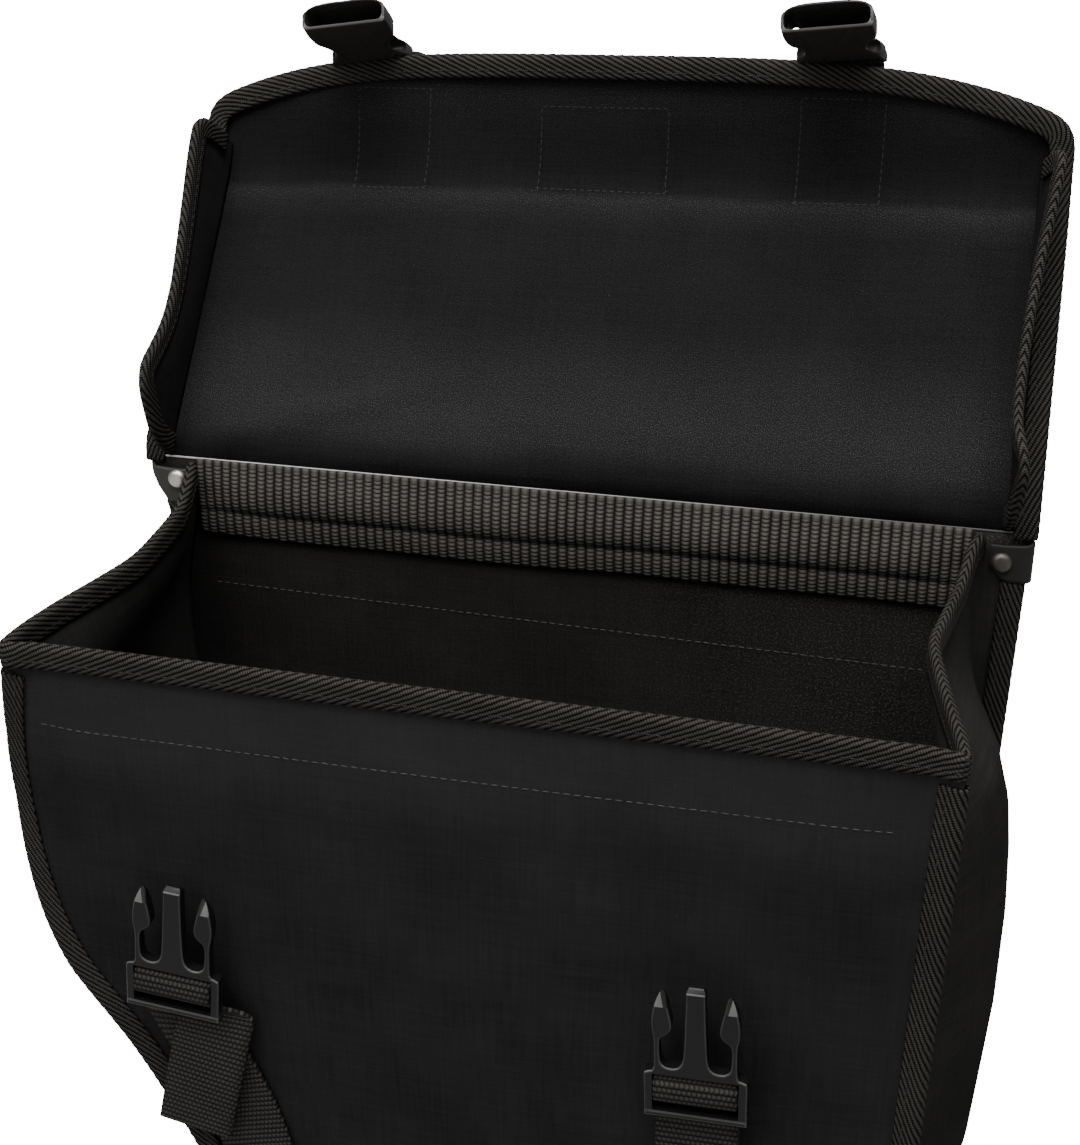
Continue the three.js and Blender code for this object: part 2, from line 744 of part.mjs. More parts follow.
// Socket of a side-release buckle: a flat sleeve with side windows and a bar for the strap
function buckleSocket() {
  const right = SOCKET_SIDE.map(({ up, half }) => new THREE.Vector2(half, up));
  const left = SOCKET_SIDE.map(({ up, half }) => new THREE.Vector2(-half, up)).reverse();
  const shape = new THREE.Shape([...right, ...left]);
  const slot = [
    new THREE.Vector2(-SOCKET.slotHalf, SOCKET.bar / 2),
    new THREE.Vector2(-SOCKET.slotHalf, SOCKET.slotTop),
    new THREE.Vector2(SOCKET.slotHalf, SOCKET.slotTop),
    new THREE.Vector2(SOCKET.slotHalf, SOCKET.bar / 2),
  ];
  shape.holes.push(new THREE.Path(slot));
  const flat = new THREE.ExtrudeGeometry(shape, { depth: SOCKET.thick, bevelEnabled: false });
  flat.translate(0, 0, -SOCKET.thick / 2).rotateX(Math.PI / 2);
  const box = (half, thick, from, to) => (
    new THREE.BoxGeometry(2 * half, thick, to - from).translate(0, 0, (from + to) / 2)
  );
  const hollow = box(SOCKET.hollowHalf, SOCKET.hollowThick, SOCKET.hollowFloor, SOCKET.length + CUT_OVER);
  const widest = SOCKET_SIDE[SOCKET_SIDE.length - 1].half + CUT_OVER;
  const window = box(widest, SOCKET_WINDOW.thick, SOCKET_WINDOW.from, SOCKET_WINDOW.to);
  const thinBar = (SOCKET.thick - SOCKET.bar) / 2;
  const shave = (sign) => box(widest, thinBar, SOCKET_SIDE[0].up - CUT_OVER, SOCKET.barTop)
    .translate(0, sign * (SOCKET.thick - thinBar) / 2, 0);
  const cuts = [hollow, window, shave(-1), shave(1)];
  return fromSolid(cuts.reduce((body, cut) => body.subtract(toSolid(cut)), toSolid(flat)));
}

// Plug of a side-release buckle: frame with a strap bar, two prongs and a centre blade
function bucklePlug() {
  const right = PLUG_SIDE.map(({ across, up }) => new THREE.Vector2(across, up));
  const left = PLUG_SIDE.map(({ across, up }) => new THREE.Vector2(-across, up)).reverse();
  const shape = new THREE.Shape([...right, ...left]);
  const low = PLUG.bar - PLUG.frame;
  shape.holes.push(new THREE.Path([
    new THREE.Vector2(-PLUG.slotHalf, low),
    new THREE.Vector2(-PLUG.slotHalf, PLUG.slotTop),
    new THREE.Vector2(PLUG.slotHalf, PLUG.slotTop),
    new THREE.Vector2(PLUG.slotHalf, low),
  ]));
  const geometry = new THREE.ExtrudeGeometry(shape, { depth: PLUG.thick, bevelEnabled: false });
  return geometry.translate(0, 0, -PLUG.thick / 2).rotateX(Math.PI / 2);
}

// Place of a part by its own origin, its width direction and its long direction
function placement(at, across, along) {
  const through = along.clone().cross(across).normalize();
  return new THREE.Matrix4().makeBasis(across, through, along).setPosition(at);
}

// End of the lid at a strap: the drop's edge, and the socket turned about it
function strapEnd(profile, strap) {
  const across = (strap.lidX - BACK_SHIFT) / DROP_HALF;
  const edge = lidRun(LID_LENGTH, across);
  const pivot = profile.point(strap.lidX, edge, 0);
  const axis = profile.inward(edge);
  return { edge, pivot, axis };
}

function turnedAbout(point, { pivot, axis }, angle) {
  return point.clone().sub(pivot).applyAxisAngle(axis, angle).add(pivot);
}

function socketTurn(state, strap) {
  return state.fastened ? 0 : THREE.MathUtils.degToRad(-strap.socketTilt);
}

function socketPlace(state, profile, strap) {
  const end = strapEnd(profile, strap);
  const angle = socketTurn(state, strap);
  const at = turnedAbout(profile.point(strap.lidX, end.edge + SOCKET_REACH, 0), end, angle);
  const across = vec(1, 0, 0).applyAxisAngle(end.axis, angle);
  const along = profile.along(end.edge).applyAxisAngle(end.axis, angle);
  return { at, across, along };
}

// Middle of a strap folded round a square bar
function loopRadius(bar) {
  return bar / Math.SQRT2 + GAP + WEBBING / 2;
}

// Lid strap: sewn on the outside of the drop, over the tape, round the socket's bar and back
function lidStrap(state, profile, strap) {
  const end = strapEnd(profile, strap);
  const loop = loopRadius(SOCKET.bar);
  const onCloth = -(CLOTH / 2 + STRAP_LIFT + WEBBING / 2);
  const overTape = -(LID_FILLING / 2 + GAP + TAPE - SEAM_MIDDLE + GAP + WEBBING / 2);
  const start = LID_CREASE - LID_STRAP_START;
  const overFrom = end.edge - TAPE_LEG - WEBBING;
  const route = Array.from({ length: STRAP_STEPS }, (_, i) => ({
    run: THREE.MathUtils.lerp(start, overFrom, i / STRAP_STEPS),
    layer: onCloth,
    turn: 0,
  }));
  route.push({ run: overFrom, layer: overTape, turn: 0 });
  route.push({ run: end.edge + WEBBING, layer: overTape, turn: 0 });
  for (let i = 0; i <= LOOP_STEPS; i += 1) {
    const angle = (Math.PI * i) / LOOP_STEPS;
    const run = end.edge + SOCKET_REACH + loop * Math.sin(angle);
    route.push({ run, layer: -loop * Math.cos(angle), turn: 1 });
  }
  route.push({ run: end.edge + SOCKET_REACH - LID_STRAP_TAIL, layer: loop, turn: 1 });
  const angle = socketTurn(state, strap);
  const places = route.map(({ run, layer, turn }) => {
    const at = turnedAbout(profile.point(strap.lidX, run, layer), end, angle * turn);
    return { at, across: vec(1, 0, 0).applyAxisAngle(end.axis, angle * turn) };
  });
  return sweep(STRAP_SECTION, ribbon(places));
}

// Stations of a flat ribbon: width across, thickness square to the run
function ribbon(places) {
  const last = places.length - 1;
  return places.map(({ at, across }, i) => {
    const along = places[Math.min(i + 1, last)].at.clone().sub(places[Math.max(i - 1, 0)].at);
    return { at, out: across, side: along.cross(across).normalize() };
  });
}

// Place of a plug: hanging in front of the panel, or pushed home in its socket
function plugPlace(state, profile, strap) {
  if (state.fastened) {
    const socket = socketPlace(state, profile, strap);
    const at = socket.at.clone().addScaledVector(socket.along, SOCKET.length + GAP);
    return { at, across: socket.across, along: socket.along.negate() };
  }
  const tilt = THREE.MathUtils.degToRad(strap.plugTilt);
  const along = vec(Math.sin(tilt), 0, Math.cos(tilt));
  const z = HEIGHT - strap.plugDrop;
  const loop = loopRadius(PLUG.bar);
  const bar = vec(strap.plugX, -strapOff(state, strap.plugX, z) - loop, z);
  const at = bar.addScaledVector(along, PLUG.frame - PLUG.bar / 2);
  return { at, across: vec(Math.cos(tilt), 0, -Math.sin(tilt)), along };
}

// Distance of a strap's middle from the back: it lies on the fullest part of the front under its width
function strapOff(state, x, z) {
  const under = [-1, 0, 1].map((side) => frontBelly(state, x + (side * WEBBING_WIDTH) / 2, z));
  return frontDepth(state, z) + Math.max(...under) + CLOTH / 2 + STRAP_LIFT + WEBBING / 2;
}

// Front strap: sewn low on the front, up the panel, round the plug's bar, with its tail hanging in front
function frontStrap(state, profile, strap) {
  const plug = plugPlace(state, profile, strap);
  const bar = plug.at.clone().addScaledVector(plug.along, PLUG.bar / 2 - PLUG.frame);
  const loop = loopRadius(PLUG.bar);
  const through = plug.along.clone().cross(plug.across).normalize();
  const back = bar.clone().addScaledVector(through, loop);
  const anchor = new THREE.Vector2(strap.anchorX, ANCHOR_HEIGHT);
  const arrive = new THREE.Vector2(back.x, back.z - STRAP_BELOW_PLUG);
  const lean = Math.atan2(arrive.x - anchor.x, arrive.y - anchor.y);
  const places = [];
  for (let i = 0; i <= STRAP_STEPS; i += 1) {
    const t = i / STRAP_STEPS;
    const p = anchor.clone().lerp(arrive, t);
    const onPanel = vec(p.x, -strapOff(state, p.x, p.y), p.y);
    const near = THREE.MathUtils.smoothstep(t, STRAP_RISE_FROM, 1);
    onPanel.y = THREE.MathUtils.lerp(onPanel.y, Math.min(back.y, onPanel.y), near);
    places.push({ at: onPanel, across: vec(Math.cos(lean), 0, -Math.sin(lean)) });
  }
  for (let i = 0; i <= LOOP_STEPS; i += 1) {
    const angle = (Math.PI * i) / LOOP_STEPS;
    const at = bar.clone().addScaledVector(through, loop * Math.cos(angle))
      .addScaledVector(plug.along, loop * Math.sin(angle));
    places.push({ at, across: plug.across });
  }
  const front = places[places.length - 1].at;
  for (let i = 1; i <= TAIL_STEPS; i += 1) {
    const at = front.clone().addScaledVector(UP, (-TAIL * i) / TAIL_STEPS);
    places.push({ at, across: plug.across });
  }
  return sweep(STRAP_SECTION, ribbon(places));
}

function cornerTab(side) {
  const tip = backX(side.top);
  const stations = [HEIGHT - TAB.bottom, HEIGHT + TAB.rise].map((z) => ({
    at: backPoint(tip + side.sign * TAB.slack, z, SEAM_MIDDLE),
    out: vec(side.sign, 0, 0),
    side: vec(0, 1, 0),
  }));
  return sweep(tapeSection(SEAM_FILLING, VINYL, TAB.leg), stations);
}

function rivet(name, side) {
  const profile = RIVET_PROFILE.map(({ r, h }) => new THREE.Vector2(r, h));
  const mesh = piece(name, new THREE.LatheGeometry(profile, RIVET_SIDES), RIVET_METAL);
  const tip = backX(side.top);
  const face = -CLOTH / 2 - SEAM_MIDDLE - SEAM_FILLING / 2 - GAP - VINYL - GAP;
  mesh.position.set(tip - side.sign * TAB.rivetIn, face, HEIGHT - TAB.rivetDrop);
  mesh.rotation.x = Math.PI;
  return mesh;
}

// One bag in its own frame: back panel's rear face at y = 0, front towards -Y
function bag(prefix, state) {
  const group = new THREE.Group();
  const profile = lidProfile(state);
  const add = (name, geometry, finish) => group.add(piece(`${prefix}_${name}`, geometry, finish));
  add('front_panel', frontPanel(state), CANVAS);
  add('gusset', gusset(state), CANVAS);
  add('back_panel', backPanel(), CANVAS);
  add('mouth_binding', mouthBinding(state), BINDING);
  add('front_seam_binding', frontSeamBinding(state), BINDING);
  add('back_seam_binding', backSeamBinding(), BINDING);
  add('hinge_webbing', hingeWebbing(), STRAPPING);
  add('hinge_piping', hingePiping(), PIPING_GREY);
  add('lid_panel', lidPanel(profile), CANVAS);
  add('lid_binding', lidBinding(profile), BINDING);
  for (const side of SIDES) {
    add(`lid_ear_${side.end}`, ear(state, profile, side), CANVAS);
    add(`ear_binding_${side.end}`, earBinding(state, profile, side), BINDING);
    add(`corner_tab_${side.end}`, cornerTab(side), TAB_VINYL);
    group.add(rivet(`${prefix}_rivet_${side.end}`, side));
  }
  for (const strap of STRAPS) {
    add(`lid_strap_${strap.end}`, lidStrap(state, profile, strap), STRAPPING);
    add(`front_strap_${strap.end}`, frontStrap(state, profile, strap), STRAPPING);
    const socket = socketPlace(state, profile, strap);
    const socketMesh = piece(`${prefix}_buckle_socket_${strap.end}`, buckleSocket(), PLASTIC);
    socketMesh.applyMatrix4(placement(socket.at, socket.across, socket.along));
    const plug = plugPlace(state, profile, strap);
    const plugMesh = piece(`${prefix}_buckle_plug_${strap.end}`, bucklePlug(), PLASTIC);
    plugMesh.applyMatrix4(placement(plug.at, plug.across, plug.along));
    group.add(socketMesh, plugMesh);
  }
  return group;
}

// Bridge between the bags: its hems lie on the two back panels, its ends are taped
function bridgeProfile() {
  const left = BRIDGE_ROWS.map(({ side, rise }) => vec(0, -side, HEIGHT + rise));
  const right = left.map((p) => vec(0, -p.y, p.z)).reverse();
  return [...left, ...right];
}

function bridgePanel() {
  const profile = bridgeProfile();
  const points = profile.flatMap((p) => [-BRIDGE.half, BRIDGE.half].map((x) => vec(x, p.y, p.z)));
  return clothWall(points, gridQuads(profile.length, 2), BRIDGE.cloth);
}

function bridgeBinding(side) {
  const profile = bridgeProfile();
  const flat = profile.map((p) => new THREE.Vector2(p.y, p.z));
  const normals = mitredNormals(flat, 1);
  const stations = profile.map((p, i) => ({
    at: vec(side.sign * BRIDGE.half, p.y, p.z),
    out: vec(side.sign, 0, 0),
    side: vec(0, normals[i].x, normals[i].y),
  }));
  return sweep(tapeSection(BRIDGE.cloth), stations);
}

const pannier = new THREE.Group();
const leftBag = bag('left', OPEN);
leftBag.position.set(-MIDDLE_X, -BRIDGE_WIDTH / 2, 0);
const rightBag = bag('right', CLOSED);
rightBag.position.set(-MIDDLE_X, BRIDGE_WIDTH / 2, 0);
rightBag.scale.y = -1;
pannier.add(leftBag, rightBag, piece('bridge_panel', bridgePanel(), CANVAS));
for (const side of SIDES) {
  pannier.add(piece(`bridge_binding_${side.end}`, bridgeBinding(side), BINDING));
}

export default pannier;
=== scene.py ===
# %% [markdown]
# # A double canvas pannier bag
# Two mirror-image bags hang over a bicycle rack. The left one stands open, the right one is buckled shut.
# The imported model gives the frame, and this script dresses it: cloth with a weave, folded tape with its
# diagonal ribs, ribbed webbing, moulded buckles and real stitches. Shapes are worked out in millimetres
# and laid in the frame in metres.

# %% Load the frame
import math

import bpy
import numpy as np
from mathutils import Matrix, Vector


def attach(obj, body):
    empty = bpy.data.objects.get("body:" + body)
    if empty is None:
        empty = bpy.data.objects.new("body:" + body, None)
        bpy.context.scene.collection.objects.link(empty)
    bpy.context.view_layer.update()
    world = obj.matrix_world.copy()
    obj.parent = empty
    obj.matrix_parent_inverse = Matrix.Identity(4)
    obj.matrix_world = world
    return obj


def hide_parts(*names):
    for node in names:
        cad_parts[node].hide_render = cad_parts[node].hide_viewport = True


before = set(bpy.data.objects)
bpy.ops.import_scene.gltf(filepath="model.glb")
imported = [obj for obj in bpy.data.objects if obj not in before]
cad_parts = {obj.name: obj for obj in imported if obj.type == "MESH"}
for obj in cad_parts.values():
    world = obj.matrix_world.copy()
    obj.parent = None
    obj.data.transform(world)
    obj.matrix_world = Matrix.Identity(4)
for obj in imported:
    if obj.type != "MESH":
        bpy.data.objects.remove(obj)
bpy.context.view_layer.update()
bpy.ops.object.select_all(action="DESELECT")
print("frame nodes:", len(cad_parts))

# %% [markdown]
# ## Camera
# The photo looks down into the open bag from the right of its middle. A camera can be set by eye, but this
# one was worked out from where the bag's own corners fall in the photo: its place, its three turns and its
# focal length in pixels. Each piece can then be compared with the photo where it stands.

# %% Camera
MM = 0.001
PHOTO_HEIGHT, FOCAL_PX, SENSOR = 1145, 1883.2, 36.0
NEAREST, FURTHEST = 0.01, 50
CAMERA_AT = Vector((165.7, -800.9, 668.5)) * MM
YAW, PITCH, ROLL = (math.radians(a) for a in (13.694, 26.091, -0.359))


def linked(name, data):
    """A new object in the scene."""
    obj = bpy.data.objects.new(name, data)
    bpy.context.scene.collection.objects.link(obj)
    return obj


def photo_camera():
    forward = Vector((-math.sin(YAW) * math.cos(PITCH), math.cos(YAW) * math.cos(PITCH), -math.sin(PITCH)))
    level = Vector((math.cos(YAW), math.sin(YAW), 0))
    upright = level.cross(forward)
    right = math.cos(ROLL) * level + math.sin(ROLL) * upright
    up = math.cos(ROLL) * upright - math.sin(ROLL) * level
    turn = Matrix((right, up, -forward)).transposed()
    data = bpy.data.cameras.new("photo_camera")
    data.sensor_width = SENSOR
    data.lens = FOCAL_PX / PHOTO_HEIGHT * SENSOR
    data.clip_start, data.clip_end = NEAREST, FURTHEST
    camera = linked("photo_camera", data)
    camera.matrix_world = Matrix.Translation(CAMERA_AT) @ turn.to_4x4()
    bpy.context.scene.camera = camera
    return data.lens


print("lens:", round(photo_camera(), 2))

# %% [markdown]
# ## Shader maths
# A finish is a small graph of nodes. It could be wired by hand, one node and link at a time. Wrapping one
# output in a class lets the sums be written as sums, and one method adds every other kind of node, so a
# finish reads like the recipe that it is.


# %% Shader helper
class Value:
    """One output of a node; arithmetic on it adds Math nodes."""

    def __init__(self, tree, out):
        self.tree = tree
        self.out = out

    def math(self, operation, *others):
        node = self.tree.nodes.new("ShaderNodeMath")
        node.operation = operation
        for socket, value in zip(node.inputs, (self, *others)):
            connect(self.tree, socket, value)
        return Value(self.tree, node.outputs[0])

    def __add__(self, other):
        return self.math("ADD", other)

    __radd__ = __add__

    def __mul__(self, other):
        return self.math("MULTIPLY", other)

    __rmul__ = __mul__

    def __sub__(self, other):
        return self.math("SUBTRACT", other)

    def __rsub__(self, other):
        return (self * -1) + other

    def __pow__(self, other):
        return self.math("POWER", other)

    def wave(self):
        """Rounded humps, one for each whole number."""
        return (self * math.pi).math("SINE").math("ABSOLUTE")

    def clamped(self):
        return self.math("MAXIMUM", 0).math("MINIMUM", 1)

    def above(self, low, high):
        """Climbs from 0 at low to 1 at high."""
        return ((self - low) * (1 / (high - low))).clamped()

    def table(self, points):
        """Straight lines between pairs of input and output."""
        total = points[0][1]
        for (low, before), (high, after) in zip(points, points[1:]):
            total = self.above(low, high) * (after - before) + total
        return total


def connect(tree, socket, value):
    if isinstance(value, Value):
        tree.links.new(value.out, socket)
    else:
        socket.default_value = value


# %% Finish helper
class Finish:
    """A material on a Principled shader."""

    def __init__(self, name, **uniform):
        self.material = bpy.data.materials.new(name)
        self.material.use_nodes = True
        self.tree = self.material.node_tree
        self.shader = self.tree.nodes["Principled BSDF"]
        self.feed(**uniform)

    def feed(self, **values):
        for name, value in values.items():
            connect(self.tree, self.shader.inputs[name.replace("_", " ")], value)

    def node(self, kind, settings=None, values=None, output=0):
        made = self.tree.nodes.new(kind)
        for name, value in (settings or {}).items():
            setattr(made, name, value)
        for name, value in (values or {}).items():
            connect(self.tree, made.inputs[name], value)
        return Value(self.tree, made.outputs[output])

    def pattern(self):
        """The piece's own UV map, and its lengths in millimetres along the piece and across it."""
        uv = self.node("ShaderNodeTexCoord", output="UV")
        parts = self.tree.nodes.new("ShaderNodeSeparateXYZ")
        connect(self.tree, parts.inputs[0], uv)
        along, across = (Value(self.tree, parts.outputs[k]) * (1 / MM) for k in (0, 1))
        return uv, along, across

    def place(self):
        return self.node("ShaderNodeTexCoord", output="Object")

    def noise(self, where, scale, detail=2.0, stretch=(1, 1, 1)):
        where = self.node("ShaderNodeMapping", values={"Vector": where, "Scale": stretch})
        return self.node("ShaderNodeTexNoise", values={"Vector": where, "Scale": scale, "Detail": detail})

    def mix(self, share, first, second):
        """A blend of two colours, each of them three numbers or another blend."""
        first, second = (c if isinstance(c, Value) else (*c, 1) for c in (first, second))
        return self.node("ShaderNodeMix", {"data_type": "RGBA"}, {0: share, 6: first, 7: second}, output=2)

    def relief(self, height, depth, strength=1.0):
        values = {"Strength": strength, "Distance": depth * MM, "Height": height}
        self.feed(Normal=self.node("ShaderNodeBump", values=values))


# %% [markdown]
# ## Canvas
# The bags are black plain-weave canvas with a waxy coat. Up close it is a fine check of threads, some
# thicker than others, with lint caught on it. The front is paler just below the mouth. On the lid, painted
# light and shade by height stand in for shade by the hinge, a paler lower face and a highlight along the
# crease. The gusset and the inside get paler colours as painted light, and pale specks are painted glints
# on the weave. A scanned picture could be wrapped on it, but waves and noise stay sharp at any distance.
# The weave follows each piece's own UV map, so it stays straight with the cut of the cloth.

# %% Canvas
THREAD_PITCH = 0.62
PAINTED_GLINT_COLOUR, FUZZ_COLOUR = (0.080, 0.077, 0.076), (0.075, 0.069, 0.062)
LINT_COLOUR = (0.085, 0.082, 0.08)
EVEN_PALER, PALER_SHARE, PALER_WANDER = 0.35, 0.26, 10


def canvas_finish(name, dark, light, fuzz=0.0, glint_paint=0.10, wear=None, worn=0.027):
    """Canvas between two colours, blended towards a paler one of level worn by the table wear, at lengths
    across the cloth.
    """
    finish = Finish(name, Specular_IOR_Level=0.0)
    uv, along, across = finish.pattern()
    turn = 2 * math.pi / THREAD_PITCH
    check = (along * turn).math("SINE") * (across * turn).math("SINE") * 0.5 + 0.5
    slub_along = finish.noise(uv, 60, stretch=(0.5, 14, 1))
    slub_across = finish.noise(uv, 60, stretch=(14, 0.5, 1))
    slub = (slub_along + slub_across) * 0.5
    blotch = finish.noise(uv, 22, 4.0)
    lint = finish.noise(uv, 900, 1.0).above(0.735, 0.80) * finish.noise(uv, 60).above(0.42, 0.62)
    tone = (check * 0.55 + slub * 1.15 + blotch * 0.8 - 0.85).clamped()
    colour = finish.mix(tone, dark, light)
    near = EVEN_PALER
    # Where a table is given, the cloth blends towards a paler colour by its length across. On the lid this is
    # painted light and shade; on the front it is paler below the mouth.
    if wear:
        near = (across + (finish.noise(uv, 14) - 0.5) * PALER_WANDER).table(wear)
        colour = finish.mix(near * PALER_SHARE, colour, (worn, worn * 0.97, worn * 0.97))
    # Painted glints: pale specks in the base colour stand in for light caught on the weave. They are stronger
    # where the cloth is paler and strongest on the lid.
    painted_glints = finish.noise(uv, 2300, 2.0, stretch=(1, 0.75, 1)).above(0.50, 0.72) * glint_paint
    colour = finish.mix(painted_glints * (near + 0.2), colour, PAINTED_GLINT_COLOUR)
    grain = finish.noise(uv, 1100, 1.0).above(0.50, 0.72) * (along.above(10, 120) * 0.75 + 0.25) * fuzz
    colour = finish.mix(grain, colour, FUZZ_COLOUR)
    finish.feed(Base_Color=finish.mix(lint * 0.55, colour, LINT_COLOUR))
    finish.feed(Roughness=0.62 + blotch * 0.22)
    finish.relief(check * 0.7 + slub * 1.2, 0.3, 0.8)
    return finish.material


# The front gets paler just below the mouth tape, by height on the cloth.
PALER_BELOW_MOUTH = [(270, 0.05), (282, 0.5), (297, 1.0)]
# Painted light and shade on the lid, by length from the hinge: shade next to the hinge, a paler lower face, a
# painted highlight along the crease, and the drop darker near the crease and paler towards its top.
LID_PAINTED_LIGHT = [(5, 0.0), (15, 0.1), (24, 0.75), (36, 0.95), (60, 0.68), (83, 0.26), (126, 0.24), (135, 0.55),
            (140, 0.85), (144, 0.2), (152, 0.03), (170, 0.2), (185, 0.5), (200, 0.6)]
CANVAS = canvas_finish("black_canvas", (0.0084, 0.0083, 0.0085), (0.0252, 0.0248, 0.0251), wear=PALER_BELOW_MOUTH,
                       worn=0.037)
# The lid is the same canvas in darker colours, which are painted shade, under the painted light of its table.
LID_CLOTH_PAINTED_LIGHT_SHADE = canvas_finish("lid_canvas_painted_light_shade", (0.0037, 0.0037, 0.0038), (0.0116, 0.0114, 0.0116), glint_paint=0.60,
                          wear=LID_PAINTED_LIGHT)
# The gusset is the same canvas in paler colours: painted light for the light that its sides and the bag's
# inside lack.
GUSSET_CLOTH_PAINTED_LIGHT = canvas_finish("gusset_canvas_painted_light", (0.0122, 0.0118, 0.0113), (0.0345, 0.0332, 0.0318))
# The inside canvas has real fuzz, and its colours are also raised as painted light for the shaded inside of
# the bag.
LINING = canvas_finish("inside_canvas", (0.0092, 0.0087, 0.0082), (0.0245, 0.0230, 0.0214), fuzz=0.62)
print("canvas thread pitch:", THREAD_PITCH, "mm")

# %% [markdown]
# ## Binding tape and webbing
# The tape is a herringbone: its ribs run slantwise from the fold to each rim. The webbing has ribs across
# its width, each a row of small knots. Both are brownish beside the blue-black canvas. Ribs could be
# modelled one by one, but there are thousands, so they are waves in the finish, with a relief that catches
# the light, and the outline alone is scalloped. The grooves between ribs and knots are darker in the
# colour: painted shade.

# %% Tape
RIB_PITCH, RIB_THREAD = 1.9, 0.95
RIB_SLANT = math.radians(25)


def tape_finish():
    finish = Finish("herringbone_tape", Specular_IOR_Level=0.02)
    uv, along, across = finish.pattern()
    from_fold = across.math("ABSOLUTE")
    sine, cosine = math.sin(RIB_SLANT), math.cos(RIB_SLANT)
    rib = (along * (sine / RIB_PITCH) + from_fold * (cosine / RIB_PITCH)).wave()
    thread = (along * (cosine / RIB_THREAD) - from_fold * (sine / RIB_THREAD)).wave()
    worn = finish.noise(uv, 30, 3.0)
    # Painted shade: the colour is darkest in the grooves between ribs and threads and palest on their crowns,
    # and worn adds a random tone.
    tone = (rib * 0.45 + thread * rib * 0.55 + worn * 0.35 - 0.30).clamped()
    finish.feed(Base_Color=finish.mix(tone, (0.0018, 0.0017, 0.0015), (0.0530, 0.0487, 0.0436)))
    finish.feed(Roughness=0.55 + worn * 0.25)
    finish.relief(rib * 0.7 + thread * 0.4, 0.55)
    return finish.material


TAPE_CLOTH = tape_finish()
print("tape ribs:", RIB_PITCH, "mm apart")

# %% Webbing
KNOT_ROW, KNOT_STEP = 2.5, 1.9
HINGE_ROW, HINGE_SELVAGE = 4.2, 3.0


def webbing_finish(name, dark, light, row_pitch=KNOT_ROW, selvage=0.0):
    finish = Finish(name, Specular_IOR_Level=0.04)
    uv, along, across = finish.pattern()
    row = along * (1 / row_pitch)
    shift = row.math("FLOOR") * 0.5
    rib = row.wave() ** 0.9
    slope = (row.math("FRACT") - 0.5).math("ABSOLUTE") * 0.5
    knot = (across * (1 / KNOT_STEP) + shift + slope).wave() ** 0.8
    if selvage:
        edge = across.above(selvage - 1, selvage)
        knot = knot * edge + (1 - edge) * 0.7
    worn = finish.noise(uv, 25, 3.0)
    # Painted shade: the colour is darkest in the grooves between ribs and knots and palest on the knots.
    tone = (rib * (0.3 + knot * 0.7) + worn * 0.35 - 0.25).clamped()
    finish.feed(Base_Color=finish.mix(tone, dark, light))
    finish.feed(Roughness=0.5 + worn * 0.2)
    finish.relief(rib * (0.35 + knot * 0.65), 0.6)
    return finish.material


WEBBING = webbing_finish("ribbed_webbing", (0.0028, 0.0026, 0.0024), (0.0480, 0.0440, 0.0400))
HINGE_BAND = webbing_finish("hinge_webbing", (0.0065, 0.0060, 0.0055), (0.0900, 0.0825, 0.0740), HINGE_ROW,
                            HINGE_SELVAGE)
print("webbing ribs:", KNOT_ROW, "mm apart, on the hinge", HINGE_ROW, "mm")

# %% [markdown]
# ## Plastic, vinyl, metal and thread
# The buckles are moulded in black with a soft gloss. A painted highlight makes their rims paler, most where
# they face up, and the sockets have a paler base as painted light. The corner tabs are olive-grey vinyl,
# the aft one darker as painted shade, and each has a domed rivet: bright nickel at the fore end, darker at
# the aft end. The grey strip's fade from a pale fore end to a dark aft end is painted light and shade.
# Flat colours would look like toys, so each finish has a fine grain and a slow wear. Those follow the
# object's own place, as these small pieces have no cut to follow.

# %% Small finishes
VINYL_GRAIN = {"scale": 500, "rough": (0.35, 0.6), "depth": 0.05, "Specular_IOR_Level": 0.15}
METAL_GRAIN = {"scale": 700, "depth": 0.02, "Metallic": 1.0}
THREAD_GRAIN = {"rough": (0.5, 0.7), "depth": 0.05}
WEAR_SCALE = 12


def plain_finish(name, dark, light, scale, rough, depth, **uniform):
    finish = Finish(name, **uniform)
    where = finish.place()
    grain = finish.noise(where, scale, 3.0)
    wear = finish.noise(where, scale / WEAR_SCALE, 2.0)
    finish.feed(Base_Color=finish.mix(grain * 0.5 + wear * 0.5, dark, light))
    finish.feed(Roughness=rough[0] + wear * (rough[1] - rough[0]))
    finish.relief(grain, depth)
    return finish.material


def moulded_finish(name, base):
    """Black plastic, paler where the "edge" attribute marks a rim: a painted highlight."""
    finish = Finish(name, Specular_IOR_Level=0.16)
    where = finish.place()
    edge = finish.node("ShaderNodeAttribute", {"attribute_name": "edge"}, output="Fac")
    wear = finish.noise(where, 75, 2.0)
    # Painted highlight: the marked rims blend towards pale grey, unevenly with the noise.
    finish.feed(Base_Color=finish.mix(edge * (0.4 + wear * 1.0), base, (0.105, 0.104, 0.100)))
    finish.feed(Roughness=0.20 + wear * 0.14)
    finish.relief(finish.noise(where, 900, 3.0), 0.012)
    return finish.material


def strip_finish():
    """The grey strip at the hinge, paler at its fore end and darker towards the aft end: painted light and
    shade.
    """
    finish = Finish("grey_strip", Specular_IOR_Level=0.4)
    where = finish.place()
    # Painted light and shade: the colour fades from pale grey at the fore end to dark at the aft end.
    fade = finish.node("ShaderNodeSeparateXYZ", values={0: where}).above(-0.12, 0.16)
    speck = finish.noise(where, 300, 2.0)
    colour = finish.mix(fade, (0.42, 0.42, 0.42), (0.05, 0.05, 0.05))
    finish.feed(Base_Color=finish.mix(speck * 0.3, colour, (0.06, 0.06, 0.06)))
    finish.feed(Roughness=0.5 + speck * 0.2)
    return finish.material


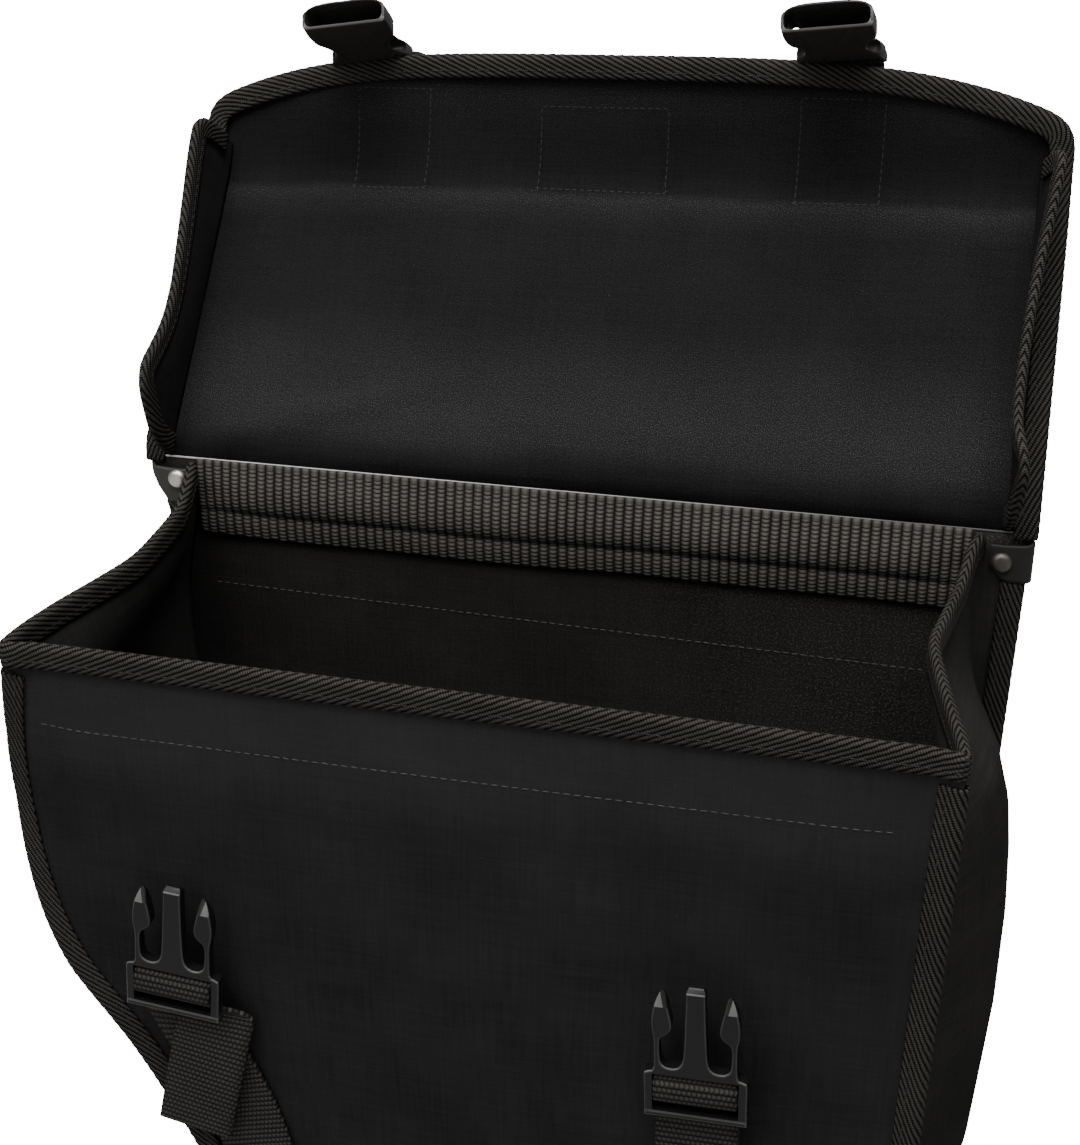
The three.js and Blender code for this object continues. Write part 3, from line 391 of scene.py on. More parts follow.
PLASTIC = moulded_finish("moulded_black", (0.0066, 0.0066, 0.0064))
# The sockets are the same black plastic with a paler base: painted light for the light that reaches them from
# all round.
SOCKET_PLASTIC_PAINTED_LIGHT = moulded_finish("moulded_socket_painted_light", (0.028, 0.0260, 0.0245))
VINYL = plain_finish("olive_vinyl", (0.020, 0.0190, 0.0160), (0.050, 0.047, 0.040), **VINYL_GRAIN)
# The aft tab is the same vinyl in darker colours: painted shade.
PAINTED_SHADE_VINYL = plain_finish("shaded_vinyl", (0.008, 0.0077, 0.0068), (0.020, 0.019, 0.017), **VINYL_GRAIN)
NICKEL = plain_finish("nickel_rivet", (0.42, 0.40, 0.36), (0.62, 0.60, 0.55), rough=(0.3, 0.5), **METAL_GRAIN)
GUNMETAL = plain_finish("dark_rivet", (0.06, 0.055, 0.048), (0.15, 0.14, 0.122), rough=(0.5, 0.62),
                        **METAL_GRAIN)
THREAD = plain_finish("dark_thread", (0.008, 0.0075, 0.0069), (0.026, 0.0243, 0.0225), 300,
                      Specular_IOR_Level=0.2, **THREAD_GRAIN)
PALE_THREAD = plain_finish("brown_thread", (0.018, 0.0165, 0.0148), (0.063, 0.0575, 0.0515), 160,
                           Specular_IOR_Level=0.25, **THREAD_GRAIN)
STRIP = strip_finish()
print("finishes:", len(bpy.data.materials))

# %% [markdown]
# ## Floor and light
# The photo is a product picture on white, with soft shade. A white floor could be lit until it burns out,
# but that light would bounce on to the bag. Here the floor is mid grey to the light and white to the camera
# alone. Three large soft lights make the shade, and a low one shows on bevelled plastic.

# %% Floor and lights
FLOOR_SIZE, FLOOR_LEVEL, FLOOR_GREY = 30, -0.0004, 0.42
BACKDROP, SKY = 16.0, 0.34
AIM = Vector((0, 0, 0.28))
LIGHTS = [
    ("key", (-0.9, -1.3, 1.8), 1.3, 24),
    ("fill", (1.7, -1.4, 1.3), 1.8, 1),
    ("top", (0.1, -0.55, 2.1), 1.4, 68),
    ("low", (-0.75, -2.3, 0.06), 0.5, 4),
]


def blank(name, add, **settings):
    """A primitive mesh, made as the only selected object."""
    bpy.ops.object.select_all(action="DESELECT")
    add(**settings)
    obj = bpy.context.object
    obj.name = obj.data.name = name
    return obj


def studio_floor():
    floor = blank("studio_floor", bpy.ops.mesh.primitive_plane_add, size=FLOOR_SIZE,
                  location=(0, 0, FLOOR_LEVEL))
    paper = Finish("pale_floor", Roughness=0.9, Specular_IOR_Level=0.1, Emission_Strength=1.0)
    seen = paper.node("ShaderNodeLightPath", output="Is Camera Ray")
    paper.feed(Base_Color=(FLOOR_GREY, FLOOR_GREY, FLOOR_GREY, 1))
    paper.feed(Emission_Color=paper.mix(seen, (0, 0, 0), (BACKDROP, BACKDROP, BACKDROP)))
    floor.data.materials.append(paper.material)


def studio_sky():
    world = bpy.data.worlds.new("studio_world")
    world.use_nodes = True
    sky = world.node_tree.nodes["Background"].inputs
    sky["Color"].default_value = (1, 1, 1, 1)
    sky["Strength"].default_value = SKY
    bpy.context.scene.world = world


def studio_light(name, at, size, power):
    data = bpy.data.lights.new(name + "_light", "AREA")
    data.shape = "SQUARE"
    data.size = size
    data.energy = power
    light = linked(name + "_light", data)
    light.location = at
    light.rotation_mode = "QUATERNION"
    light.rotation_quaternion = (AIM - Vector(at)).to_track_quat("-Z", "Y")


studio_floor()
studio_sky()
for light in LIGHTS:
    studio_light(*light)
print("lights:", len(LIGHTS))

# %% [markdown]
# ## Shaping cloth
# A cloth piece could be sculpted or simulated, but neither would meet its neighbours at the seams. Each
# piece here starts as a grid primitive, like a cut blank on a table. Its points are laid where the sewn
# piece goes, row by row, its UV map takes the blank's size in real lengths, and Solidify gives the cloth
# its thickness. Both bags use the same shapes, and the right one is the mirror of the left.

# %% Curves
CLOTH, GAP, TAPE, STRAP = 1.6, 0.3, 1.0, 1.8
SPAN_STEPS, ARC_STEPS = 24, 41


def smooth_between(x, low, high):
    t = np.clip((np.asarray(x, float) - low) / (high - low), 0, 1)
    return t * t * (3 - 2 * t)


def look_up(table, at, column=1):
    """Straight lines through a table whose first column is the place."""
    table = np.array(table, float)
    return np.interp(at, table[:, 0], table[:, column])


def spread(*parts):
    """Points from arrays of their coordinates, broadcast over rows and columns."""
    return np.stack(np.broadcast_arrays(*parts), -1)


def lengths(points):
    return np.concatenate([[0], np.cumsum(np.linalg.norm(np.diff(points, axis=0), axis=1))])


def resample(points, step=None, count=None):
    run = lengths(points)
    count = count or max(2, int(round(run[-1] / step)) + 1)
    at = np.linspace(0, run[-1], count)
    return np.stack([np.interp(at, run, points[:, k]) for k in range(points.shape[1])], 1)


def through(points, step):
    """Smooth curve through a few points, in even steps."""
    p = np.asarray(points, float)
    p = np.vstack([2 * p[0] - p[1], p, 2 * p[-1] - p[-2]])
    t = np.linspace(0, 1, SPAN_STEPS, endpoint=False)[:, None]
    parts = []
    for a, b, c, d in zip(p[:-3], p[1:-2], p[2:-1], p[3:]):
        parts.append(0.5 * (2 * b + (c - a) * t + (2 * a - 5 * b + 4 * c - d) * t**2
                            + (3 * b - a - 3 * c + d) * t**3))
    return resample(np.vstack([*parts, p[-2:-1]]), step)


def eased(points, reach):
    """A path with its corners rounded over about that many points to each side."""
    weight = np.exp(-0.5 * (np.arange(-2 * reach, 2 * reach + 1) / reach) ** 2)
    weight /= weight.sum()
    ends = [2 * points[0] - points[2 * reach:0:-1], points, 2 * points[-1] - points[-2:-2 * reach - 2:-1]]
    padded = np.vstack(ends)
    return np.stack([np.convolve(padded[:, k], weight, "valid") for k in range(points.shape[1])], 1)


def arc(corner):
    """A round corner from its first point to its last, drawn towards the middle one."""
    a, b, c = (np.array(p, float) for p in corner)
    t = np.linspace(0, 1, ARC_STEPS)[:, None]
    return a * (1 - t) ** 2 + 2 * b * t * (1 - t) + c * t**2


def unit(vectors):
    return vectors / np.maximum(np.linalg.norm(vectors, axis=-1, keepdims=True), 1e-9)


def heading(path):
    return unit(np.gradient(path, axis=0))


def coons(fore, aft, low, high, rows, columns):
    """Flat patch between four edges: fore and aft run from low to high, low and high from fore to aft."""
    fore, aft = resample(fore, count=rows), resample(aft, count=rows)
    low, high = resample(low, count=columns), resample(high, count=columns)
    u = np.linspace(0, 1, columns)[None, :, None]
    v = np.linspace(0, 1, rows)[:, None, None]
    corners = (1 - v) * ((1 - u) * low[0] + u * low[-1]) + v * ((1 - u) * high[0] + u * high[-1])
    return (1 - u) * fore[:, None] + u * aft[:, None] + (1 - v) * low[None] + v * high[None] - corners


print("cloth:", CLOTH, "mm, tape:", TAPE, "mm, webbing:", STRAP, "mm")

# %% Cloth pieces
MIDDLE_X, HALF_BRIDGE = 2.6, 70.0
LEFT = {"name": "left", "side": 1, "open": True, "mouth": 162.0, "belly": 7.0}
RIGHT = {"name": "right", "side": -1, "open": False, "mouth": 130.0, "belly": 4.0}
BRIDGE = {"name": "bridge", "side": 0}
BAGS = (LEFT, RIGHT)
ENDS = (("fore", -1), ("aft", 1))


def to_row(points, bag):
    """Bag millimetres to metres in the row frame."""
    p = np.array(points, float)
    if bag["side"]:
        p[..., 0] -= MIDDLE_X
        p[..., 1] = bag["side"] * (p[..., 1] - HALF_BRIDGE)
    return p * MM


def dress(obj, material, slot, *nodes):
    obj.data.materials.clear()
    obj.data.materials.append(material)
    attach(obj, "root")
    if nodes:
        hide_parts(*nodes)
    return obj


def apply_modifier(obj, kind, **settings):
    modifier = obj.modifiers.new(kind.lower(), kind)
    for name, value in settings.items():
        setattr(modifier, name, value)
    bpy.context.view_layer.objects.active = obj
    bpy.ops.object.modifier_apply(modifier=modifier.name)


def vertex_places(mesh):
    places = np.empty(len(mesh.vertices) * 3, np.float32)
    mesh.vertices.foreach_get("co", places)
    return places.reshape(-1, 3)


def cloth(name, bag, points, pattern, material, slot, thick=CLOTH):
    """A grid blank laid on the given rows of points, with its UV map in metres of cloth."""
    rows, columns = points.shape[:2]
    obj = blank(name, bpy.ops.mesh.primitive_grid_add, x_subdivisions=columns - 1, y_subdivisions=rows - 1,
                size=2)
    mesh = obj.data
    flat = vertex_places(mesh)
    column = np.rint((flat[:, 0] + 1) / 2 * (columns - 1)).astype(int)
    row = np.rint((flat[:, 1] + 1) / 2 * (rows - 1)).astype(int)
    laid = to_row(points[row, column], bag).astype(np.float32)
    mesh.vertices.foreach_set("co", laid.ravel())
    corner = np.empty(len(mesh.loops), np.int32)
    mesh.loops.foreach_get("vertex_index", corner)
    uv = (pattern[row, column][corner] * MM).astype(np.float32)
    mesh.uv_layers.active.data.foreach_set("uv", uv.ravel())
    mesh.update()
    apply_modifier(obj, "SOLIDIFY", thickness=thick * MM, offset=0, use_quality_normals=True)
    bpy.ops.object.shade_smooth()
    return dress(obj, material, slot, name)


print("bags:", [bag["name"] for bag in BAGS])

# %% [markdown]
# ## Tape and webbing strips
# Binding is a strip folded over an edge like a long letter U, and a strap is a flat strip along a path.
# Both could be swept with a curve's bevel, but as cloth they keep a UV map in real lengths, and the two
# rows where a tape is sewn are known for the stitches.

# %% Strips
TAPE_LEG, TAPE_ROWS, SEWN_ROW, SCALLOP = 9.7, 15, 2, 0.14
STRAP_WIDTH, STRAP_ROWS, RIB_BULGE = 32.0, 9, 0.3
SEAM_ROWS = []


def folded(across, fold):
    """Section of a strip folded over an edge: how far it is up, to which side, and past the round part."""
    bend = np.clip(across / fold, -math.pi / 2, math.pi / 2)
    past = np.maximum(np.abs(across) - math.pi * fold / 2, 0)
    over = np.sign(across) * np.where(past > 0, fold, fold * np.abs(np.sin(bend)))
    return fold * np.cos(bend) - past, over, past


def tape(name, bag, tips, out, side, filling, leg=TAPE_LEG, ribs=1):
    """Binding folded over an edge: tips is the edge, out points off the cloth, side across it."""
    fold = filling / 2 + GAP + TAPE / 2
    half_width = leg - fold + math.pi * fold / 2
    across = np.linspace(-half_width, half_width, TAPE_ROWS)
    up, over, _ = folded(across, fold)
    run = lengths(tips)
    scallop = SCALLOP * np.sin(2 * math.pi * run / (RIB_PITCH / math.sin(RIB_SLANT)))
    rim = np.abs(across) / half_width
    up = up[:, None] + scallop[None] * np.where(rim > 0.9, -1, 1 - rim)[:, None]
    start = tips - out * (fold - TAPE / 2 - GAP / 2) * 0.55
    points = start[None] + up[..., None] * out[None] + over[:, None, None] * side[None]
    for row, face in ((SEWN_ROW, -1), (TAPE_ROWS - 1 - SEWN_ROW, 1)):
        SEAM_ROWS.append((bag, points[row] + face * side * TAPE * 0.55, face * side))
    cloth(name, bag, points, spread(ribs * run, across[:, None]), TAPE_CLOTH, "binding", TAPE)


def ribbon(name, bag, path, across):
    """Flat webbing along a path, its edge scalloped by the ribs."""
    run = lengths(path)
    place = np.linspace(-0.5, 0.5, STRAP_ROWS)[:, None]
    edge = STRAP_WIDTH + RIB_BULGE * np.sin(2 * math.pi * run / KNOT_ROW)
    points = path[None] + (place * edge)[..., None] * across[None]
    cloth(name, bag, points, spread(run, place * STRAP_WIDTH), WEBBING, "webbing", STRAP)


print("strap width:", STRAP_WIDTH, "mm")

# %% [markdown]
# ## The bag's outline
# The front panel's seam runs down the fore side, in along the heel cut, round under the bag and up the aft
# side. The back panel is the same outline, wider. Both panels meet the gusset in a flange that stands out
# from the corner, so the tape over it shows as a raised edge. One outline could be drawn for each panel,
# but drawing it once and widening it keeps the seams together.

# %% Seam lines
HEIGHT, DEPTH, RIM, FOOT = 330.0, 162.0, 328.7, 2.3
FRONT_FLANGE, BACK_FLANGE_FOOT, BACK_FLANGE_TOP = 11.5, 11.5, 18.0
BACK_SPREAD, BACK_SHIFT, BACK_RISE = 1.062, 5.7, 10.0
LID_MIDDLE = 3.6
SEAM_STEP, SEAM_TOP = 3.0, 11.4
FORE_EDGE = [(1.3, -181), (11.4, -182.5), (54, -188.5), (106, -185), (146, -173), (190, -145), (237, -122),
             (288, -103)]
FORE_CORNER = [(-103, 42), (-88, FOOT), (-54, FOOT)]
AFT_CORNER = [(122, FOOT), (172.5, FOOT), (173.5, 50)]
FORE_RIM, AFT_RIM = (-181, RIM), (180, RIM)
FORE_PULL = [(-10, -2.0), (-3, -1.5), (3, 0.5), (9, 4), (16, 7), (40, 7), (110, 0)]


def seam_edges():
    """Fore edge, floor edge and aft edge of the front panel; the corners are shared half and half."""
    fore = through([(x, HEIGHT - drop) for drop, x in FORE_EDGE], SEAM_STEP)
    fore_arc, aft_arc = arc(FORE_CORNER), arc(AFT_CORNER)
    half = ARC_STEPS // 2
    aft = np.vstack([aft_arc[half:], [AFT_RIM]])
    floor = np.vstack([fore_arc[half:], aft_arc[: half + 1]])
    return np.vstack([fore, fore_arc[1 : half + 1]]), floor, aft


def fore_pull(x, z):
    """How far the back's fore edge is drawn in below its top corner."""
    return look_up(FORE_PULL, HEIGHT - z) * (x < 0)


def widened(line):
    wide = line * (BACK_SPREAD, 1) + (BACK_SHIFT, 0)
    wide[:, 0] += fore_pull(line[:, 0], line[:, 1])
    return wide


def outward(line):
    along = heading(line)
    normal = np.stack([along[:, 1], -along[:, 0]], 1)
    normal[0], normal[-1] = (-1, 0), (1, 0)
    return normal


FORE_SIDE, FLOOR_SIDE, AFT_SIDE = seam_edges()
SEAM = resample(np.vstack([FORE_SIDE, FLOOR_SIDE[1:], AFT_SIDE[1:]]), SEAM_STEP)
SEAM_OUT = outward(SEAM)
BACK_SEAM = widened(SEAM)
BACK_OUT = outward(BACK_SEAM)
SEAM_DROP = HEIGHT - SEAM[:, 1]
print("front seam:", round(lengths(SEAM)[-1]), "mm")

# %% Front surface
UPRIGHT_RIM, BELLY_REACH, ROLL_REACH = 14.0, 1.12, 36.0
FORE_TIP = [(0, -2.5), (20, 1.0), (45, 6.0), (75, 6.5), (110, 2.5), (150, -1.5), (330, -1.5)]
FORE_ROOT = [(0, 0), (20, 1.0), (45, 3.5), (75, 3.5), (110, 2.4), (150, 1.6), (330, 1.2)]
AFT_TIP = [(0, -3.0), (330, -2.0)]
AFT_ROOT = [(0, 0), (25, 1.4), (330, 1.2)]
FLOOR_TIP, FLOOR_ROOT = -1.0, 0.6
ON_FORE = np.arange(len(SEAM)) < len(SEAM) / 2


def on_sides(fore, aft):
    """Values along the seam from one table by drop for each side."""
    return np.where(ON_FORE, look_up(fore, SEAM_DROP), look_up(aft, SEAM_DROP))


FLOOR_BLEND = smooth_between(SEAM_DROP, 300, 328)
TIP_LEAN = on_sides(FORE_TIP, AFT_TIP) * (1 - FLOOR_BLEND) + FLOOR_TIP * FLOOR_BLEND
ROOT_LEAN = on_sides(FORE_ROOT, AFT_ROOT) * (1 - FLOOR_BLEND) + FLOOR_ROOT * FLOOR_BLEND


def front_depth(bag, z):
    return bag["mouth"] + (DEPTH - bag["mouth"]) * smooth_between(HEIGHT - z, UPRIGHT_RIM, HEIGHT)


def front_belly(bag, x, z):
    fore, aft = FORE_SIDE[::-1], AFT_SIDE
    low = np.interp(z, fore[:, 1], fore[:, 0])
    high = np.interp(z, aft[:, 1], aft[:, 0])
    across = (2 * x - low - high) / (high - low) * BELLY_REACH
    down = np.sin(np.pi * np.clip((HEIGHT - z) / HEIGHT, 0, 1))
    return bag["belly"] * np.maximum(1 - across**2, 0) ** 2 * down**2


def front_lean(x, z):
    """How far the cloth dips behind the flat front near the seam."""
    flat = np.stack([x, z], -1).reshape(-1, 1, 2)
    apart = np.linalg.norm(flat - SEAM[None], axis=2)
    near = apart.argmin(1)
    d = apart.min(1)
    in_flange = np.clip(d / FRONT_FLANGE, 0, 1)
    flange = TIP_LEAN[near] * (1 - in_flange) + ROOT_LEAN[near] * in_flange
    lean = flange * (1 - smooth_between(d, FRONT_FLANGE, ROLL_REACH))
    return lean.reshape(x.shape)


def front_point(bag, x, z, layer=0.0):
    x, z = np.broadcast_arrays(np.asarray(x, float), np.asarray(z, float))
    y = -front_depth(bag, z) - front_belly(bag, x, z) + front_lean(x, z) + layer
    return spread(x, y, z)


def front_flange(bag, layer):
    """Tip and root of the front seam's flange."""
    roots = SEAM - SEAM_OUT * FRONT_FLANGE
    for line, lean in ((SEAM, TIP_LEAN), (roots, ROOT_LEAN)):
        yield spread(line[:, 0], -front_depth(bag, line[:, 1]) + lean + layer, line[:, 1])


print("front rolls back by up to", TIP_LEAN.max().round(1), "mm at its fore edge")

# %% [markdown]
# ## Front, back and gusset
# The front is slightly full of air and rolls back at its fore edge. The gusset is one strip round the
# sides and the bottom: it swells where the bag is full and is pinched in at the mouth, where the tape pulls
# it into a fold. A box with a cloth simulation would fold by chance, so each panel is drawn between its
# seams, and a short table says how far the gusset swells at each height.

# %% Panels
FRONT_GRID, BACK_GRID = (96, 100), (60, 60)
FRONT_TOP = np.array([FORE_RIM, AFT_RIM], float)
BACK_TOP = np.array([(x, HEIGHT + BACK_RISE) for x, _ in (FORE_RIM, AFT_RIM)], float)


def flat_size(*edges):
    loop = np.vstack(edges)
    width, length = (loop.max(0) - loop.min(0)) * MM
    return float(width), float(length)


def front_panel(bag):
    flat = coons(FORE_SIDE[::-1], AFT_SIDE, FLOOR_SIDE, FRONT_TOP, *FRONT_GRID)
    points = front_point(bag, flat[..., 0], flat[..., 1])
    obj = cloth(bag["name"] + "_front_panel", bag, points, flat, CANVAS, "canvas")
    bag["name"] + "_front_seam_binding"


def back_panel(bag):
    fore = widened(np.vstack([BACK_TOP[:1], FORE_SIDE]))
    aft = widened(np.vstack([AFT_SIDE, BACK_TOP[1:]]))
    flat = coons(fore[::-1], aft, widened(FLOOR_SIDE), widened(BACK_TOP), *BACK_GRID)
    points = spread(flat[..., 0], -CLOTH / 2, flat[..., 1])
    obj = cloth(bag["name"] + "_back_panel", bag, points, flat, LINING, "canvas")
    cut = (fore, widened(FLOOR_SIDE), aft)
    bag["name"] + "_back_seam_binding"


for bag in BAGS:
    front_panel(bag)
    back_panel(bag)
print("front panel cut:", flat_size(FORE_SIDE, FLOOR_SIDE, AFT_SIDE), "m")

# %% Mouth edge
MOUTH_AFT = [(-165, 179.8), (-148, 176.5), (-127, 172), (-104, 167.5), (-82, 164.6), (-61, 167.4),
             (-37, 171.4), (-13, 175.3), (-3, 178.4)]
MOUTH_FORE = [(-165, -181.5), (-148, -180), (-127, -175.5), (-104, -169), (-82, -164), (-61, -164),
              (-37, -165.5), (-13, -168.5), (-3, -171)]
MOUTH_RISE, CLOSED_PINCH, SWELL_POWER = 9.5, 7.0, 1.6


def mouth_rise(bag, y):
    """The open mouth's edge climbs towards the hinge at its back ends."""
    return MOUTH_RISE * smooth_between(y, -34, -3) * bag["open"]


def mouth_side(bag, aft, count):
    """Edge of the mouth over the gusset from the front corner to the back, as x and y."""
    line = resample(through(MOUTH_AFT if aft else MOUTH_FORE, 2.0), count=count)
    share = np.linspace(0, 1, count)
    x, y = line[:, 1], line[:, 0] * bag["mouth"] / DEPTH
    if not bag["open"]:
        x = x - np.sign(x) * CLOSED_PINCH * np.sin(np.pi * share) ** SWELL_POWER
    return np.stack([x, y], 1)


print("mouth side:", round(lengths(mouth_side(LEFT, True, 60))[-1]), "mm")

# %% Gusset
LAYER = CLOTH + GAP
SWELL_OPEN = [(0, -10), (14, -10), (60, -1), (120, 12), (200, 19), (260, 14), (315, 0), (330, 0)]
SWELL_AFT = [(0, -10), (14, -10), (34, 3), (54, 20), (72, 25.5), (92, 28), (120, 30), (165, 30.5), (197, 29),
             (237, 27), (270, 21), (300, 9), (325, 0)]
SWELL_SHUT = [(0, -17), (14, -17), (60, -4), (120, 10), (200, 18), (260, 14), (315, 0), (330, 0)]
LIP_ROWS, WEB_ROWS = 5, 29
RIM_DROP, RIM_BLEND = 1.3, 42.0


def gusset_rim(bag):
    """Where the gusset would lie if all of it followed the mouth."""
    rim = np.empty((WEB_ROWS, len(SEAM), 3))
    rim[..., 2] = SEAM[None, :, 1]
    for aft, own in ((False, ON_FORE), (True, ~ON_FORE)):
        edge = mouth_side(bag, aft, WEB_ROWS)
        rim[:, own, :2] = edge[:, None]
        rim[:, own, 2] += mouth_rise(bag, edge[:, 1:])
    return rim


def gusset(bag):
    tip, root = front_flange(bag, LAYER)
    flange = BACK_FLANGE_FOOT + (BACK_FLANGE_TOP - BACK_FLANGE_FOOT) * SEAM[:, 1] / HEIGHT
    flange = flange - fore_pull(SEAM[:, 0], SEAM[:, 1])
    back_flat = BACK_SEAM - BACK_OUT * flange[:, None]
    level = -CLOTH / 2 - LAYER
    back_root, back_tip = (spread(line[:, 0], level, line[:, 1]) for line in (back_flat, BACK_SEAM))
    swell = on_sides(SWELL_OPEN, SWELL_AFT) if bag["open"] else on_sides(SWELL_SHUT, SWELL_SHUT)
    off = spread(SEAM_OUT[:, 0], 0.0, SEAM_OUT[:, 1])
    w = np.linspace(0, 1, WEB_ROWS)[:, None, None]
    bulge = swell[None] * np.sin(np.pi * w[:, 0]) ** SWELL_POWER
    web = root * (1 - w) + back_root * w + bulge[..., None] * off
    blend = smooth_between(SEAM_DROP, RIM_DROP, RIM_BLEND)[None, :, None]
    web = gusset_rim(bag) * (1 - blend) + web * blend
    q = np.linspace(0, 1, LIP_ROWS)[:-1, None, None]
    front_lip = tip * (1 - q) + web[0] * q
    back_lip = web[-1] * q[::-1] + back_tip * (1 - q[::-1])
    points = np.concatenate([front_lip, web, back_lip])
    steps = np.linalg.norm(np.diff(points, axis=0), axis=2)
    across = np.concatenate([[0], np.cumsum(steps.mean(1))])
    pattern = spread(lengths(SEAM), across[:, None])
    obj = cloth(bag["name"] + "_gusset", bag, points, pattern, GUSSET_CLOTH_PAINTED_LIGHT, "canvas")
    girth = steps.sum(0).mean()
    bag["name"] + "_front_panel"
    bag["name"] + "_back_panel"
    return girth


print("gussets:", [round(gusset(bag)) for bag in BAGS], "mm wide")

# %% [markdown]
# ## Seam and mouth tapes
# Each tape is folded over its edge, and its stitches go through both legs. The mouth tape runs in one
# length: from the back, round both front corners, to the back again. A tape could be left flat on the
# seam, but the real one stands off the corner and shows its round fold, so it is laid on the flange's tip
# and points the way that the flange points there.

# %% Tapes of the body
SEAM_FILL, MOUTH_FILL = 2 * CLOTH + GAP, CLOTH + 0.8
SEAM_MIDDLE = LAYER / 2
FINE, COARSE = 1.5, 2.5
BELOW_TAB, CORNER_ROUND = 10, 2
MOUTH_FRONT = (-170.0, 169.0)


def edge_step(bag):
    """The open bag is seen close by, so its tapes have finer steps."""
    return FINE if bag["open"] else COARSE


def seam_tapes(bag):
    edge = np.hstack([*front_flange(bag, SEAM_MIDDLE)])
    edge = resample(edge[SEAM_DROP >= SEAM_TOP], edge_step(bag))
    tips, out = edge[:, :3], unit(edge[:, :3] - edge[:, 3:])
    side = unit(np.cross(out, heading(tips)))
    side *= np.sign(side[:, 1:2])
    tape(bag["name"] + "_front_seam_binding", bag, tips, out, side, SEAM_FILL, ribs=-1)
    flat = resample(np.hstack([BACK_SEAM, BACK_OUT])[SEAM_DROP >= BELOW_TAB], COARSE)
    tips = spread(flat[:, 0], -CLOTH / 2 - SEAM_MIDDLE, flat[:, 1])
    out = unit(spread(flat[:, 2], 0.0, flat[:, 3]))
    side = np.broadcast_to((0.0, 1.0, 0.0), out.shape)
    tape(bag["name"] + "_back_seam_binding", bag, tips, out, side, SEAM_FILL, ribs=-1)


def mouth_line(bag):
    fore = mouth_side(bag, False, 120)[::-1]
    aft = mouth_side(bag, True, 120)
    front = np.array([(x, -bag["mouth"]) for x in MOUTH_FRONT])
    return eased(resample(np.vstack([fore, front, aft]), FINE), CORNER_ROUND)


def mouth_tape(bag):
    line = mouth_line(bag)
    along = heading(line)
    tips = np.column_stack([line, HEIGHT - TAPE - GAP + mouth_rise(bag, line[:, 1])])
    side = spread(-along[:, 1], along[:, 0], 0.0)
    out = np.broadcast_to((0.0, 0.0, 1.0), tips.shape)
    tape(bag["name"] + "_mouth_binding", bag, tips, out, side, MOUTH_FILL)


for bag in BAGS:
    seam_tapes(bag)
    mouth_tape(bag)
print("mouth tape:", round(lengths(mouth_line(LEFT))[-1]), "mm")

# %% [markdown]
# ## Hinge
# A band of webbing hides the seam between the back and the lid. Its lower part is folded under, so the
# upper part stands out like a lip. A thin grey strip lies along the foot of the lid. The band could be two
# pieces, but one profile with a step in it is how it is sewn, and the step makes its own shadow.

# %% Hinge band and strip
HINGE_PROFILE = [(11.5, 1.3), (6, 2.4), (0, 3.9), (-5.5, 4.5), (-9.5, 4.1), (-11.7, 2.9), (-13, 2.0),
                 (-17, 2.5), (-21, 2.2), (-25, 1.4)]
HINGE_HALF, HINGE_END, HINGE_LIES, HINGE_STANDS = 172.0, 26, 1.3, 4.3
STRIP_HALF, STRIP_ROUND, STRIP_THICK = 189, 0.3, 0.4


def hinge_band(bag):
    profile = through(HINGE_PROFILE, 1.2)
    up, stand = profile[:, :1], profile[:, 1:] - HINGE_LIES
    across = np.arange(-HINGE_HALF, HINGE_HALF + 0.1, 1.5)
    ends = smooth_between(HINGE_HALF - np.abs(across), 0, HINGE_END)
    full = 1.0 + 0.9 * stand / HINGE_STANDS * (ends[None] - 1)
    wander = 0.5 * np.sin(across / 41) + 0.3 * np.sin(across / 17)
    y = -CLOTH - HINGE_LIES - stand * full
    z = HEIGHT + up + wander[None] * smooth_between(-up, -8, 12)
    pattern = spread(across, lengths(profile)[:, None])
    cloth(bag["name"] + "_hinge_webbing", bag, spread(across + LID_MIDDLE, y, z), pattern, HINGE_BAND,
          "webbing", STRAP)


def hinge_strip(bag):
    across = np.arange(-STRIP_HALF, STRIP_HALF + 0.1, 3.0)
    turn = np.linspace(-math.pi / 2, math.pi / 2, 5)[:, None]
    y = -CLOTH + 0.5 - STRIP_ROUND * np.cos(turn)
    z = HEIGHT + BACK_RISE + GAP + 0.6 + STRIP_ROUND * np.sin(turn)
    cloth(bag["name"] + "_hinge_piping", bag, spread(across + LID_MIDDLE, y, z), spread(across, z), STRIP,
          "piping", STRIP_THICK)


for bag in BAGS:
    hinge_band(bag)
    hinge_strip(bag)
print("hinge band:", round(2 * HINGE_HALF), "mm long")

# %% [markdown]
# ## Lid
# The lid is one cloth: a main face, a soft crease and an arched front drop. It could be modelled twice, up
# and down. Instead its profile is drawn by its lean at each length along the cloth, so the same cut makes
# the open lid and the closed one, and every seam on it is found by its place on the flat cloth.

# %% Lid profile
LID_LEAN = [(0, 0, 0), (5, 0, 0), (10, 18, -40), (15, 34, -76), (20, 36, -93), (28, 36, -94), (110, 36, -95),
            (140, 35, -100), (150, 26, -124), (160, 9, -150), (172, 1, -166), (204, 0, -172), (240, 0, -172)]
LID_FOOT, LID_HINGE = (1.5, 334.3), 12.0
LID_STEP, LID_EASE = 0.5, 4
LID_CREASE, LID_LENGTH = 154.0, 202.0
LID_HALF, DROP_HALF, DROP_END, DROP_POWER = 196.0, 195.5, 24.5, 3.9
LID_TWIST_MIDDLE, LID_TWIST_END = 1.6, 4.4


